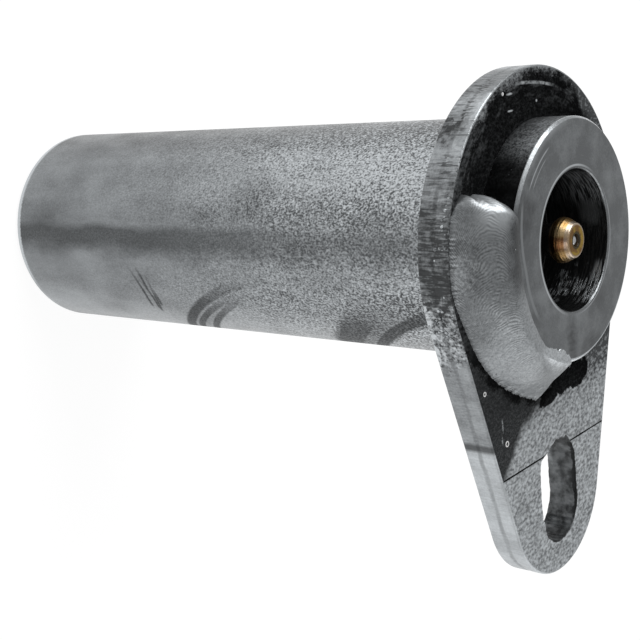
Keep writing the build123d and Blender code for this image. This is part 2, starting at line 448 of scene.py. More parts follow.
@dataclass(frozen=True)
class GroundSteel(Finish):
    """The shank: ground bar with mottled grain and scratches, painted light, shade and reflections.

    Attributes:
        scratches: First and last angle and height of each, and how far it bows.
        arcs: Of each painted dark arc reflection: angle and height of its centre, radius, half
            width, angle where it fades, strength.
        zones: Rows of sector() over the height, of painted highlights and shade added to the tone.
        clouds: Angle and height of each dark cloud, its half width and height, and strength.
        arc_ends: Angles where every arc has ended and where it is still full.
    """

    name: ClassVar[str] = "ground_steel"
    dark: Colour = steel(0.089)
    light: Colour = steel(0.57)
    # streak: colour of the painted dark reflection along the shank's side
    streak: Colour = steel(0.074)
    scratch_and_reflection_dark: Colour = steel(0.062)
    painted_edge_highlight: Colour = steel(0.64)
    roughness: float = 0.34
    metallic: float = 0.9
    scratches: Rows = (
        (186.3, 29.5, 221, 30.7, 1.25), (192.4, 33.7, 225, 31.8, 0.85), (196, 31.9, 222, 32, 0.9),
        (188, 31.6, 207, 32.6, 0.5), (202, 34, 218, 33.4, 0.3),
    )
    arcs: Rows = (
        (317.6, 65, 38.3, 1.2, 187, 1), (317.6, 65, 36.4, 0.85, 196, 1),
        (318.6, 69.6, 37.5, 0.85, 198, 0.95), (317.6, 65, 36.8, 2.9, 202, 0.4),
        (303.5, 100.9, 36.1, 3.3, 197, 0.95), (303.5, 100.9, 31.2, 1.4, 186, 1),
        (303.5, 100.9, 34.4, 4.4, 190, 0.5),
    )
    zones: Rows = (
        (136, 21, 4, 36, 84, 0.28), (172, 22, 7, 20, 70, -0.08), (216, 16, 5, 18, 4, 0.2),
        (161, 12, 5, 24, 6, -0.12), (98, 15, 7, 84, 88, -0.26), (122, 24, 12, 89.5, 92.5, 0.45),
        (204, 20, 10, 89.5, 92.5, 0.2), (210, 9, 4, 85, 88, -0.16),
    )
    clouds: Rows = (
        (148.3, 59.8, 2.4, 3.6, 0.2), (160.7, 49.7, 1.8, 2.6, 0.13), (163, 8, 1.6, 3, 0.1),
    )
    arc_ends: tuple[float, float] = (318, 256)
    shank_radius: float = 17.5

    def coat(self, paint: Paint) -> None:
        """Adds the finish's nodes."""
        angle, _, height = paint.around()
        flat = paint.join(angle * math.radians(self.shank_radius), height)
        cloud, speckle = paint.mottle(15), paint.mottle(0.8)
        fog = paint.mottle(4.5, stretch=(1, 1, 0.5))
        grain = paint.grain(0.28, 0.95, paint.place.scale(1, 1, 0.75))
        coarse = height.step(12, 80) * cloud.spread(0.5, 1)
        swing = (grain - 0.5) * coarse.spread(0.2, 1.35) * height.step(38, 92).spread(0.56, 1.22)
        tone = swing * angle.near(178, 26, 10).spread(1, 0.6) * 1.3
        tone += height.step(15, 90).spread(0.33, 0.42) + fog.spread(-0.06, 0.06)
        tone += coarse * (speckle - 0.5) * 0.31 + cloud.spread(-0.05, 0.05)
        # Painted light on the lower side, 196° to 290°, below 60 to 76 mm; painted shade towards
        # the upper edge, 70° to 126°.
        below = angle.step(196, 236) * angle.step(358, 290)
        tone += below * height.step(60, 76).spread(0.12, -0.02)
        tone -= angle.step(126, 106) * angle.step(2, 70) * 0.2
        # Painted highlights and shade by sector, such as a broad highlight at 136° and painted
        # shade and light next to the plate.
        tone = sum((sector(angle, height, row) for row in self.zones), tone)
        for turn, rise, wide, high, strength in self.clouds:
            centre = tuple(self.spot(turn, rise))
            tone -= paint.patch(centre, (wide, high, 1), 1.3, 0.5, place=flat) * strength
        colour = paint.blend(tone, self.dark, self.light)
        # Painted dark reflection: a soft dark stripe along the shank at about 164° to 188°,
        # stronger towards its end.
        wave = angle + fog.spread(-1.6, 1.6)
        painted_dark_reflection = wave.step(164, 170) * wave.step(188, 175) * height.step(100, 20).spread(0.38, 1)
        colour = colour.to(self.streak, painted_dark_reflection * grain.spread(1, 0.75))
        # Real scratches, and painted dark reflections in the shape of arcs.
        marks = [self.scratch(paint, flat, row) for row in self.scratches]
        marks += [self.painted_arc_reflection(paint, flat, row) for row in self.arcs]
        scratches_and_reflections = reduce(or_, marks) * grain.spread(1, 0.72)
        colour = colour.to(self.scratch_and_reflection_dark, scratches_and_reflections)
        # Painted highlight along the shank's end edge, below about 1.9 mm, strongest from about 70°
        # to 196°.
        lit = (angle.step(214, 196) * angle.step(5, 70)).spread(0.2, 0.85)
        colour = colour.to(self.painted_edge_highlight, (height + grain.spread(-0.15, 0.15)).step(1.9, 1.4) * lit)
        rough = grain.spread(self.roughness + 0.06, self.roughness - 0.04)
        rough += fog.spread(0.03, -0.03) + scratches_and_reflections * 0.3
        lines = paint.scratches((0.12, 0.12, 2.2), 0.5)
        bumps = [(grain * coarse.spread(0.35, 1), 0.03), (lines, 0.003)]
        paint.finish(colour, rough, scratches_and_reflections.spread(self.metallic, 0.3), bumps, Specular_IOR_Level=0.15)

    def spot(self, angle: float, height: float) -> Vector:
        """Returns the unrolled place of an angle and height."""
        return Vector((math.radians(angle) * self.shank_radius, height, 0.0))

    def scratch(self, paint: Paint, flat: Value, row: Row) -> Value:
        """Masks one bowed scratch.

        Args:
            paint: The material.
            flat: The unrolled point: mm round the shank, mm along it.
            row: One row of scratches.

        Returns:
            The mask.
        """
        first, last, bow = self.spot(*row[:2]), self.spot(*row[2:4]), row[4]
        way = last - first
        side = Vector((-way.y, way.x, 0.0)).normalized()
        away = paint.vector("SUBTRACT", flat, tuple(first))
        along = paint.vector("DOT_PRODUCT", away, tuple(way.normalized()))
        across = paint.vector("DOT_PRODUCT", away, tuple(side))
        rise = (along * (math.pi / way.length)).sine() * bow
        ends = along.step(-0.5, way.length * 0.6) * along.step(way.length, way.length * 0.85)
        return abs(across - rise).step(0.42, 0.12) * ends * 0.9

    def painted_arc_reflection(self, paint: Paint, flat: Value, row: Row) -> Value:
        """Masks one painted dark arc reflection.

        Args:
            paint: The material.
            flat: The unrolled point: mm round the shank, mm along it.
            row: One row of arcs.

        Returns:
            The mask.
        """
        angle, height, radius, width, fade, strength = row
        away = paint.vector("DISTANCE", flat, tuple(self.spot(angle, height)))
        way, rise, _ = paint.split(flat)
        begins = way.step(self.spot(fade, 0).x, self.spot(fade + 30, 0).x)
        ends = way.step(*(self.spot(end, 0).x for end in self.arc_ends))
        ends *= rise.step(height + 1, height - 6)
        return away.near(radius, width, width * 0.5) * begins * ends * strength


@dataclass(frozen=True)
class HeadFace(Finish):
    """The head's turned end: semi-bright steel with heat tint beside the weld, faint streaks and
    painted highlights.

    Attributes:
        tints: Rows of sector() over the radius, of the heat tint.
        smears: Place, half size and strength of each dark smear.
        rings: Middle angle, half angle, radius, half width and strength of each painted highlight
            line.
    """

    name: ClassVar[str] = "head_face_steel"
    plain: Colour = steel(0.21)
    pale: Colour = steel(0.38)
    tint: Colour = steel(0.07)
    streak: Colour = steel(0.85)
    level: float = 105.65
    tints: Rows = (
        (205, 75, 45, 11.2, 14.8, 0.32), (150, 26, 14, 10.4, 11, 0.25),
        (155, 14, 5, 11.6, 13.8, 0.95), (160, 17, 8, 13.4, 14.8, 0.7),
        (279, 14, 8, 14.4, 16.2, 0.5),
    )
    rim: Row = (116, 30, 10, 15.9, 16.8, 0.25)
    lap: Row = (182, 36, 26, 10, 11, 0.8)
    smears: Rows = (
        (-3.1, -13.9, 1.5, 3.4, 0.8), (2.9, -15.6, 1.8, 1.3, 0.7), (6, -10.2, 1.8, 1.6, 0.5),
    )
    rings: Rows = (
        (128, 16, 15.3, 0.16, 0.6), (130, 12, 14.5, 0.12, 0.4), (150, 105, 10.5, 0.2, 0.8),
        (330, 70, 10.5, 0.14, 0.45), (-30, 70, 10.5, 0.14, 0.45), (286, 44, 16.84, 0.24, 0.95),
    )

    def coat(self, paint: Paint) -> None:
        """Adds the finish's nodes."""
        angle, radius, _ = paint.around()
        cloud, haze, grain = paint.mottle(6), paint.mottle(2.2), paint.grain(0.3, 0.7)
        tone = cloud * 0.8 + haze.spread(-0.25, 0.05)
        colour = paint.blend(tone.held("ADD", grain.spread(-0.25, 0.25)), self.plain, self.pale)
        masks = [sector(angle, radius, row) for row in self.tints]
        for x, y, wide, high, strength in self.smears:
            masks.append(paint.patch((x, y, self.level), (wide, high, 40), 1.1, 0.2) * strength)
        veins = paint.mottle(0.9, paint.join(angle * 0.16, radius * 1.1))
        tint = reduce(or_, masks) * cloud.spread(0.6, 1) * veins.spread(0.55, 1)
        colour = colour.to(self.tint, tint)
        lines = paint.scratches((0.7, 1, 1), 0.5, paint.join(angle * 0.055, radius * 2.4))
        # Faint streaks, and a painted highlight along the outer rim at about 116°.
        colour = colour.to(self.streak, lines * 0.08 | sector(angle, radius, self.rim))
        edge = (radius + ((angle - 184) & 0) * 0.05).near(14.45, 0.4, 0.15)
        colour = colour.to(self.pale, edge * sector(angle, radius, self.lap))
        # Painted highlight lines near the outer rim and round the counterbore.
        for middle, outer, place, width, strength in self.rings:
            ring = radius.near(place, width, width * 0.4) * angle.near(middle, outer, outer * 0.6)
            colour = colour.to(self.streak, ring * strength)
        rough = grain.spread(0.3, 0.38) + tint * 0.05
        paint.finish(colour, rough, 0.92, [(grain, 0.005), (lines, 0.003)])


@dataclass(frozen=True)
class RimSteel(Finish):
    """Chamfers and broken edges, bright, sooty by the weld, with painted shade and a painted
    highlight.
    """

    name: ClassVar[str] = "rim_steel"
    plain: Colour = steel(0.63)
    dull: Colour = steel(0.31)
    sooted_and_shaded: Colour = steel(0.105)
    painted_edge_highlight: Colour = steel(0.9)

    def coat(self, paint: Paint) -> None:
        """Adds the finish's nodes."""
        angle, radius, height = paint.around()
        grain = paint.grain(0.5, 0.9)
        # Sooty beside the weld; painted shade that dims the chamfer at the counterbore's mouth.
        sooted_and_shaded = angle.near(190, 66, 56) * height.step(104, 105) | radius.step(12, 11) * 0.7
        colour = paint.blend(grain, self.dull, self.plain).to(self.sooted_and_shaded, sooted_and_shaded * 0.85)
        outer = radius.step(16, 16.4)
        # Painted highlight on the head's outer rim at about 281°.
        colour = colour.to(self.painted_edge_highlight, angle.near(281, 30, 22) * outer * 0.8)
        # Painted shade that dims the key lamp's highlight on the head's rim at about 137°.
        glare = angle.near(137, 22, 12) * outer
        colour = colour.to(self.dull, glare * 0.6)
        paint.finish(colour, grain.spread(0.34, 0.24) + glare * 0.12, 0.95, [(grain, 0.01)])


@dataclass(frozen=True)
class SootedSteel(Finish):
    """The head's side wall, blackened by the weld: dark with grey grains and bright specks."""

    name: ClassVar[str] = "sooted_steel"
    dark: Colour = steel(0.0033)
    light: Colour = steel(0.312)
    spark: Colour = steel(0.43)

    def coat(self, paint: Paint) -> None:
        """Adds the finish's nodes."""
        angle, _, height = paint.around()
        grain, cloud, fog = paint.grain(0.3, 1.2), paint.mottle(3.5), paint.mottle(1.1)
        clean = (angle.step(136, 117) | angle.step(262, 290)) * height.step(98, 104.6)
        tone = grain.spread(0.2, 1.15) * fog.spread(0.75, 1.25) * (cloud.spread(0, 0.06) + clean)
        specks = paint.specks(1, 0.12, 0.14)
        edge = angle.near(138.5, 6, 3) * height.near(104.2, 1.4, 0.8)
        bright = specks * height.step(103.2, 101.2) | paint.specks(0.5, 0.4, 0.26) * edge
        colour = paint.blend(tone, self.dark, self.light).to(self.spark, bright)
        bumps = [(grain, 0.012), (specks, 0.05)]
        paint.finish(colour, grain.spread(0.42, 0.55), 0.7, bumps, Specular_IOR_Level=0.05)


@dataclass(frozen=True)
class ShadedBore(Finish):
    """The counterbore: painted near-black shade of the recess, an oily gloss and painted pale arcs.

    Attributes:
        upper: Row of sector() over the height, of the faint arcs across from the camera.
        lower: Row of the painted highlight arcs near the camera.
        edge: Row of the arc just below the mouth.
    """

    name: ClassVar[str] = "greasy_bore"
    dark: Colour = steel(0.0065)
    streak: Colour = steel(0.36)
    film: Colour = steel(0.075)
    lower: Row = (304, 26, 14, 97.5, 99.5, 1)
    edge: Row = (308, 26, 10, 103.7, 104.6, 2.2)

    def coat(self, paint: Paint) -> None:
        """Adds the finish's nodes."""
        angle, _, height = paint.around()
        lines = paint.scratches(EVEN, 0.85, paint.join(angle * 0.016, height * 1.15))
        upper = angle.near(42, 30, 12) * height.step(99, 104).spread(0.1, 0.75)
        lower = sector(angle, height, self.lower) * height.step(105, 102)
        lower *= paint.mottle(2.4).step(0.35, 0.75)
        edge = sector(angle, height, self.edge) * lines.step(0.05, 0.5) & 1
        # Pale arcs of the tool marks, painted as highlights only in the sectors where they catch
        # the light.
        mask = lines.step(0.25, 0.7) * lower | lines * upper.held("ADD", 0.02) | edge
        film = paint.patch((9.8, 2.1, 102.9), (4, 1.6, 1.5), 0.9, 0.4) * 0.7
        # Near black: painted shade of the recess.
        colour = paint.blend(mask, self.dark, self.streak).to(self.film, film)
        rough, metal = mask.spread(0.3, 0.38), mask.spread(0.2, 0.9)
        paint.finish(colour, rough, metal, [(lines, 0.02)], Specular_IOR_Level=0.2)


@dataclass(frozen=True)
class PlateScale(Finish):
    """The plate's faces: grey mill scale, burnt black round the head, painted shadow below the
    weld.

    Attributes:
        marks: Place and half size of each pale mark.
        blobs: Place and half size of each burnt blob right of the weld's end.
    """

    name: ClassVar[str] = "mill_scale"
    scale_dark: Colour = steel(0.079)
    scale_light: Colour = steel(0.635)
    burnt: Colour = steel(0.003)
    shade: Colour = steel(0.022)
    pale: Colour = steel(0.46)
    ash: Colour = steel(0.095)
    groove: Colour = steel(0.006)
    front: float = 99.6
    level: float = 100.0
    marks: Rows = (
        (-7.9, 21.5, 0.26, 0.24), (-6.1, 21.3, 0.7, 0.14), (-6.2, 19.05, 0.6, 0.12),
        (1.06, 19.53, 0.2, 0.18), (-14.5, -23.3, 0.16, 0.9), (-14.85, -25.4, 0.16, 0.6),
    )
    blobs: Rows = (
        (-1.4, -23.4, 2.8, 1.3), (3, -22, 3.2, 2.3), (7.6, -22.5, 3.8, 2.1),
        (10.2, -22.4, 1.4, 1.5),
    )

    def coat(self, paint: Paint) -> None:
        """Adds the finish's nodes."""
        angle, radius, height = paint.around()
        x, y, _ = paint.split(paint.place)
        top = height.step(self.front - 0.4, self.front)
        grain = paint.grain(0.48, 1.3, paint.place.scale(0.68, 1, 1))
        fine, cloud = paint.grain(0.25, 1.2), paint.mottle(3.6)
        tone = grain * 0.72 + cloud.spread(0.2, 0.34)
        # Painted shade on the face from y -28.5 mm towards the head, stronger to the right.
        tone = tone.held("SUBTRACT", y.step(-28.5, -19) * x.step(4, 12).spread(0.3, 0.72))
        # Painted shadow of the weld on the face below it.
        soot_and_shade = self.below_weld(x, y, cloud) * top
        black = self.burnt_zone(paint, angle, radius, y, cloud, fine) * top
        colour = paint.blend(tone, self.scale_dark, self.scale_light)
        colour = colour.to(self.shade, soot_and_shade * fine.spread(1, 0.88))
        colour = colour.to(self.burnt, black * fine.spread(1, 0.95))
        ash = paint.mottle(1.8, paint.join(angle * 0.13, radius * 1.3)).step(0.45, 0.95)
        ash *= y.step(-6, 6) * radius.step(19, 22.5).spread(0.15, 1)
        colour = colour.to(self.ash, ash * black * grain.spread(0.1, 0.8))
        middle = x - 1
        bent = y + x * 0.13 + middle * middle * 0.012
        line = bent.near(22.2, 0.3, 0.1) * abs(middle).step(6.4, 3)
        marks = [line * grain.spread(0.2, 0.8)]
        for mark_x, mark_y, wide, high in self.marks:
            mark = paint.patch((mark_x, mark_y, self.level), (wide, high, 40), 0.8, 0.5, 0.5)
            marks.append(mark if mark_y > 0 else mark * fine.spread(0.1, 0.8))
        colour = colour.to(self.pale, reduce(or_, marks) * top)
        scribed = height.step(100.215, 100.15) * height.step(99.9, 100) * y.step(-30.2, -31)
        colour = colour.to(self.groove, scribed)
        smooth = black | soot_and_shade * 0.8
        rough = grain.spread(0.48, 0.58) - smooth * 0.1
        bumps = [(grain * smooth.spread(1, 0.2), 0.05), (fine, 0.008)]
        paint.finish(colour, rough, smooth.spread(0.55, 0), bumps, Specular_IOR_Level=0.0)

    @staticmethod
    def below_weld(x: Value, y: Value, cloud: Value) -> Value:
        """Masks the painted shadow between the weld, the left flank, a bent line and the scribed
        line.

        Args:
            x: The point's place across the plate.
            y: The point's place along the plate.
            cloud: Clouds that make the border uneven.

        Returns:
            The mask.
        """
        line = (x + 3.7) * 0.28 - 24.1 + ((x + 9.5) & 0) * 0.82
        above = (y + cloud * 0.9 - line).step(-0.7, 1.9)
        return above * x.step(3, -0.5) * y.step(-8, -13) * y.step(-31.9, -31.2)

    def burnt_zone(
        self, paint: Paint, angle: Value, radius: Value, y: Value, cloud: Value, fine: Value
    ) -> Value:
        """Masks the burnt ring round the head, the weld's black toe line and the blobs.

        Args:
            paint: The material.
            angle: Angle of the point.
            radius: Radius of the point.
            y: The point's place along the plate.
            cloud: Clouds that make the ring's border uneven.
            fine: Fine grain.

        Returns:
            The mask.
        """
        reach = radius + (cloud.spread(-0.8, 0.8) + fine.spread(-0.35, 0.35))
        edge = angle.near(112, 68, 46) * 2.3 + 21.3
        mask = (reach - edge).step(1.3, -0.7) * y.step(-15, -8)
        inside = reach + angle.step(208, 218) * 1.6
        mask = mask | inside.step(25.4, 24.4) * angle.near(195, 70, 60) * 0.9
        for x, along, wide, high in self.blobs:
            mask = mask | paint.patch((x, along, self.level), (wide, high, 40), 0.12, 0.45, 0.9)
        return mask


@dataclass(frozen=True)
class FlameCut(Finish):
    """The plate's flame-cut walls: pale and dark drag lines, sooty patches, painted light and
    shade.

    Attributes:
        shades: Rows of sector() over the height, of painted light and shade added to the tone.
        gouges: Rows of sector() over the height, of the deep lines.
    """

    name: ClassVar[str] = "flame_cut_steel"
    dark: Colour = steel(0.058)
    light: Colour = steel(0.63)
    soot_and_shade: Colour = steel(0.024)
    shades: Rows = (
        (132, 5, 2.6, 98.7, 98.1, -0.3), (129.5, 3, 1, 99.9, 99.2, -0.14),
        (126, 6, 3, 99, 98.6, -0.1), (137.8, 5.2, 3.6, 97.9, 98.3, 0.26),
        (141.5, 4.5, 2.5, 90, 91, 0.14), (158, 6, 3, 98, 99, 0.1),
        (126, 12, 8, 99.3, 99.7, 0.22), (197, 12, 5, 90, 91, 0.2),
        (212, 10, 4, 97.8, 96.8, -0.08), (200, 12, 7, 96.3, 95.9, 0.9),
        (181, 12, 8, 97.5, 98.5, -0.08), (106, 14, 9, 90, 91, -0.18),
    )
    gouges: Rows = (
        (116, 13, 9, 99.4, 98.6, 0.75), (146, 6.5, 4, 90, 91, 0.7),
        (131.5, 4, 3, 90, 91, 0.5), (180, 26, 16, 90, 91, 0.4),
    )

    def coat(self, paint: Paint) -> None:
        """Adds the finish's nodes."""
        angle, _, height = paint.around()
        x, y, _ = paint.split(paint.place)
        lines = paint.noise(paint.place.scale(3.3, 3.3, 0.38), 1, 2, 0.55)
        ridges = paint.noise(paint.place.scale(3.4, 3.4, 0.42), 1, 1).step(0.52, 0.62)
        cloud, blotch = paint.mottle(3.6, stretch=(1, 1, 0.8)), paint.mottle(1.3)
        grain, crust = paint.grain(0.3, 1.1), paint.grain(0.6, 1.5)
        depth = y.step(17, 10).spread(0.35, 1) * y.step(-4, -11).spread(1, 0.35)
        tone = (lines.step(0.34, 0.7) - 0.5) * depth * 0.3
        tone += cloud.spread(-0.12, 0.1) + grain.spread(-0.07, 0.07)
        wave, rise = angle + blotch.spread(-4, 4), height + blotch.spread(0.5, -0.5)
        # Painted light and shade in sectors of the walls.
        tone = sum((sector(wave, rise, row) for row in self.shades), tone)
        tone += (blotch - 0.5) * angle.near(172, 44, 30) * 0.2
        tone += (crust - 0.5) * wave.near(199, 14, 5) * 0.8
        # Painted light: walls brighter towards +Y and on the tail, palest beyond y -27.4 mm.
        level = y.step(4, 22).spread(0.14, 0.57) + y.step(-3, -16) * 0.36
        tone = tone.held("ADD", level + y.step(-25.6, -27.4) * 0.33)
        colour = paint.blend(tone, self.dark, self.light)
        ledge = (height + cloud.spread(-0.2, 0.2)).near(97.95, 0.5, 0.12)
        colour = colour.to(self.soot_and_shade, ledge * cloud.spread(0.12, 0.4))
        gouged = ridges * reduce(or_, [sector(angle, height, row) for row in self.gouges])
        colour = colour.to(self.soot_and_shade, gouged)
        soot_and_shade = paint.patch((-17, 17.6, 97.4), (1.8, 2.2, 9), 1.2, 0.3) * 0.4
        soot_and_shade = soot_and_shade | paint.patch((-17.6, -25.9, 97.6), (3, 0.6, 9), 0.9, 0.25) * 0.72
        # Painted shade inside the slot.
        soot_and_shade = soot_and_shade | self.inside_slot(paint, x, y, height)
        scratches = paint.scratches((1.6, 1.6, 0.35), 0.25)
        scratches *= y.step(-27.5, -29) * y.step(-38, -34)
        colour = colour.to(self.soot_and_shade, soot_and_shade).to(self.soot_and_shade, scratches * 0.8)
        bumps = [(lines * depth, 0.04), (gouged, -0.06), (grain, 0.015)]
        paint.finish(colour, tone.spread(0.5, 0.36), 0.72, bumps)

    @staticmethod
    def inside_slot(paint: Paint, x: Value, y: Value, height: Value) -> Value:
        """Masks the painted shade on the slot's wall.

        Args:
            paint: The material.
            x: The point's place across the plate.
            y: The point's place along the plate.
            height: Height of the point.

        Returns:
            The mask.
        """
        stain = paint.mottle(1.6)
        dark = stain.spread(0.7, 0.98) + y.step(-43, -44.2) * 0.06
        dark -= height.step(96.7, 95.9) * y.step(-38.5, -36) * 0.22
        rim = (height + stain.spread(-0.25, 0.25)).step(99.25, 99.75) * x.step(3.2, 4.6)
        return abs(x).step(6.8, 6.4) * y.step(-29, -29.6) * y.step(-48.6, -47.9) * (dark | rim)


@dataclass(frozen=True)
class WeldMetal(Finish):
    """The seam: satin grey as-welded steel with fine freeze lines and crust, painted light and
    shade.
    """

    name: ClassVar[str] = "weld_metal"
    dark: Colour = steel(0.12)
    light: Colour = steel(0.567)
    soot_and_shade: Colour = steel(0.053)
    crust: Colour = steel(0.88)

    def coat(self, paint: Paint) -> None:
        """Adds the finish's nodes."""
        angle, radius, height = paint.around()
        cloud, grain = paint.mottle(4.5), paint.grain(0.34, 0.75)
        ripple = paint.add("ShaderNodeAttribute", out="Fac", attribute_name="ripple")
        # Painted highlight on the bead's start, below about 168°.
        bright = (angle + grain.spread(-2, 2)).step(168, 157) * radius.near(20.2, 3, 0.8)
        tone = angle.step(176, 212).spread(0.29, 0.4) + cloud.spread(-0.045, 0.045) + bright * 0.6
        # Painted shade that dims a lit patch at about 177°.
        tone -= angle.near(177, 12, 6) * radius.step(21.2, 22.6) * 0.2
        tone += ripple.spread(-0.17, 0.17) * bright.spread(1, 2.4)
        colour = paint.blend(tone.held("ADD", grain.spread(-0.2, 0.2)), self.dark, self.light)
        # Painted shade along the bead's upper edge by the head; a burnt line along the toe.
        shade = (radius + cloud * 1.5).step(20.3, 18) * angle.step(198, 180) * angle.step(157, 162)
        toe = height.step(100.7, 100.3) * angle.step(220, 234).spread(0.3, 0.65)
        # Painted shade in the crevice beside the head, with pits.
        beside = angle.near(166, 11, 6) * radius.step(18.9, 18.1)
        colour = colour.to(self.soot_and_shade, shade * 0.68 | toe)
        colour = colour.to(self.soot_and_shade, beside * grain.step(0.45, 0.75) * 0.75)
        # Painted light on the lap over the head, in the crust's colour; the lip and the pits are
        # crust.
        lap_light = angle.step(186, 202) * angle.step(259, 252) * radius.step(19.2, 16.6)
        lap_light *= grain.spread(0.15, 0.55) * ripple.spread(0.6, 1)
        low_lap_light = angle.step(216, 236) * angle.step(259, 257) * radius.step(18.4, 17)
        low_lap_light *= grain.spread(0.35, 0.85)
        lip = angle.near(247, 14, 8) * radius.step(17.2, 16.4) * grain.step(0.35, 0.65)
        pits = beside * paint.specks(0.75, 0.45, 0.22) * 0.9
        colour = colour.to(self.crust, lap_light | low_lap_light | lip * 0.8 | pits)
        rough = grain.spread(0.38, 0.32) + bright * 0.1
        paint.finish(colour, rough, 0.85, [(grain, 0.014), (lip, 0.02)])


@dataclass(frozen=True)
class SpatterBead(Finish):
    """Weld spatter: small dark beads with bright skins."""

    name: ClassVar[str] = "spatter_steel"
    dark: Colour = steel(0.08)
    light: Colour = steel(0.6)

    def coat(self, paint: Paint) -> None:
        """Adds the finish's nodes."""
        grain = paint.grain(0.8, 1.2)
        colour = paint.blend(grain, self.dark, self.light)
        paint.finish(colour, grain.spread(0.3, 0.42), 0.9, [(grain, 0.01)])


@dataclass(frozen=True)
class YellowZinc(Finish):
    """The nipple: yellow passivated zinc, gold to reddish brown, painted light, reflection and
    shade.
    """

    name: ClassVar[str] = "yellow_zinc"
    gold: Colour = (0.36, 0.20, 0.06)
    straw: Colour = (0.48, 0.35, 0.19)
    red: Colour = (0.07, 0.015, 0.009)
    rim: Colour = (0.72, 0.62, 0.52)
    amber: Colour = (0.52, 0.34, 0.05)
    ochre: Colour = (0.34, 0.17, 0.04)
    olive: Colour = (0.085, 0.06, 0.018)
    # grease: colour of the painted shade below the head and of the socket's dark ring.
    grease: Colour = (0.006, 0.0055, 0.005)

    def coat(self, paint: Paint) -> None:
        """Adds the finish's nodes."""
        angle, radius, height = paint.around()
        cloud, grain = paint.mottle(1.4), paint.grain(0.18, 0.9)
        rings = paint.noise(paint.place.scale(0.25, 0.25, 3.2), 1.6, 2)
        flank = radius.step(2.35, 2.6)
        tone = cloud * 0.5 + grain.spread(-0.15, 0.25)
        # Painted highlight along the flank at about 143°.
        tone = tone.held("ADD", flank * angle.near(143, 20, 7) * 0.6)
        # Painted dark reflection along the flank, in the zinc's reddish tint.
        reddish_reflection = angle.near(180, 26, 14) * flank * rings.step(0.35, 0.65).spread(0.6, 1)
        groove = rings.step(0.52, 0.6) * height.step(105.3, 105.1) * 0.6
        colour = paint.blend(tone, self.gold, self.straw).to(self.red, reddish_reflection).to(self.olive, groove)
        # Painted highlight on the tip's rim.
        rim = radius.step(2.1, 2.3) * height.step(104.9, 105.15)
        colour = colour.to(self.rim, rim * angle.near(178, 50, 25).spread(0.75, 0.3))
        ring = (radius + grain.spread(-0.08, 0.08)).step(1.16, 1.42) * cloud.spread(0.7, 1)
        warm = paint.blend(cloud.step(0.35, 0.7), self.ochre, self.amber)
        face = radius.step(2.2, 2) * height.step(105.4, 105.5)
        colour = colour.to(paint.blend(ring, self.olive, warm), face)
        # Painted shade below the head, and a dark ring round the ball's socket.
        shade_and_socket = height.step(103.3, 102.6) | radius.step(1.08, 0.98) * 0.85
        colour = colour.to(self.grease, shade_and_socket)
        bumps = [(rings, 0.03), (grain, 0.008)]
        paint.finish(colour, grain.spread(0.26, 0.36), shade_and_socket.spread(1, 0.1), bumps)


@dataclass(frozen=True)
class PolishedBall(Finish):
    """The check ball: polished bearing steel with a film of oil."""

    name: ClassVar[str] = "ball_steel"
    dull: Colour = (0.55, 0.56, 0.58)
    bright: Colour = (0.80, 0.81, 0.83)

    def coat(self, paint: Paint) -> None:
        """Adds the finish's nodes."""
        cloud = paint.mottle(0.7)
        colour = paint.blend(cloud, self.dull, self.bright)
        paint.finish(colour, cloud.spread(0.08, 0.2), 1.0, Coat_Weight=0.3)


@dataclass(frozen=True)
class DrawnWire(Finish):
    """The valve spring: drawn wire with a fine grain."""

    name: ClassVar[str] = "drawn_wire"
    dark: Colour = (0.25, 0.25, 0.26)
    light: Colour = (0.52, 0.52, 0.53)

    def coat(self, paint: Paint) -> None:
        """Adds the finish's nodes."""
        grain = paint.grain(0.12, 0.8)
        colour = paint.blend(grain, self.dark, self.light)
        paint.finish(colour, grain.spread(0.28, 0.4), 1.0, [(grain, 0.004)])


# Meshes


def polar(radius: float, turn: float, *height: float) -> Row:
    """Returns the point at a radius and an angle in radians about the axis."""
    return (radius * math.cos(turn), radius * math.sin(turn), *height)


class Zone(Enum):
    """The surfaces of the turned bar that have a finish of their own."""

    SHANK = 0
    SIDE = 1
    FACE = 2
    RIM = 3
    BORE = 4


@dataclass(frozen=True)
class Corner:
    """One corner of a turned outline.

    Attributes:
        r: Radius.
        z: Height.
        rounding: Radius of its rounding, 0 for a sharp corner.
        zone: Surface that runs from here to the next corner.
    """

    r: float
    z: float
    rounding: float = 0.0
    zone: int = 0


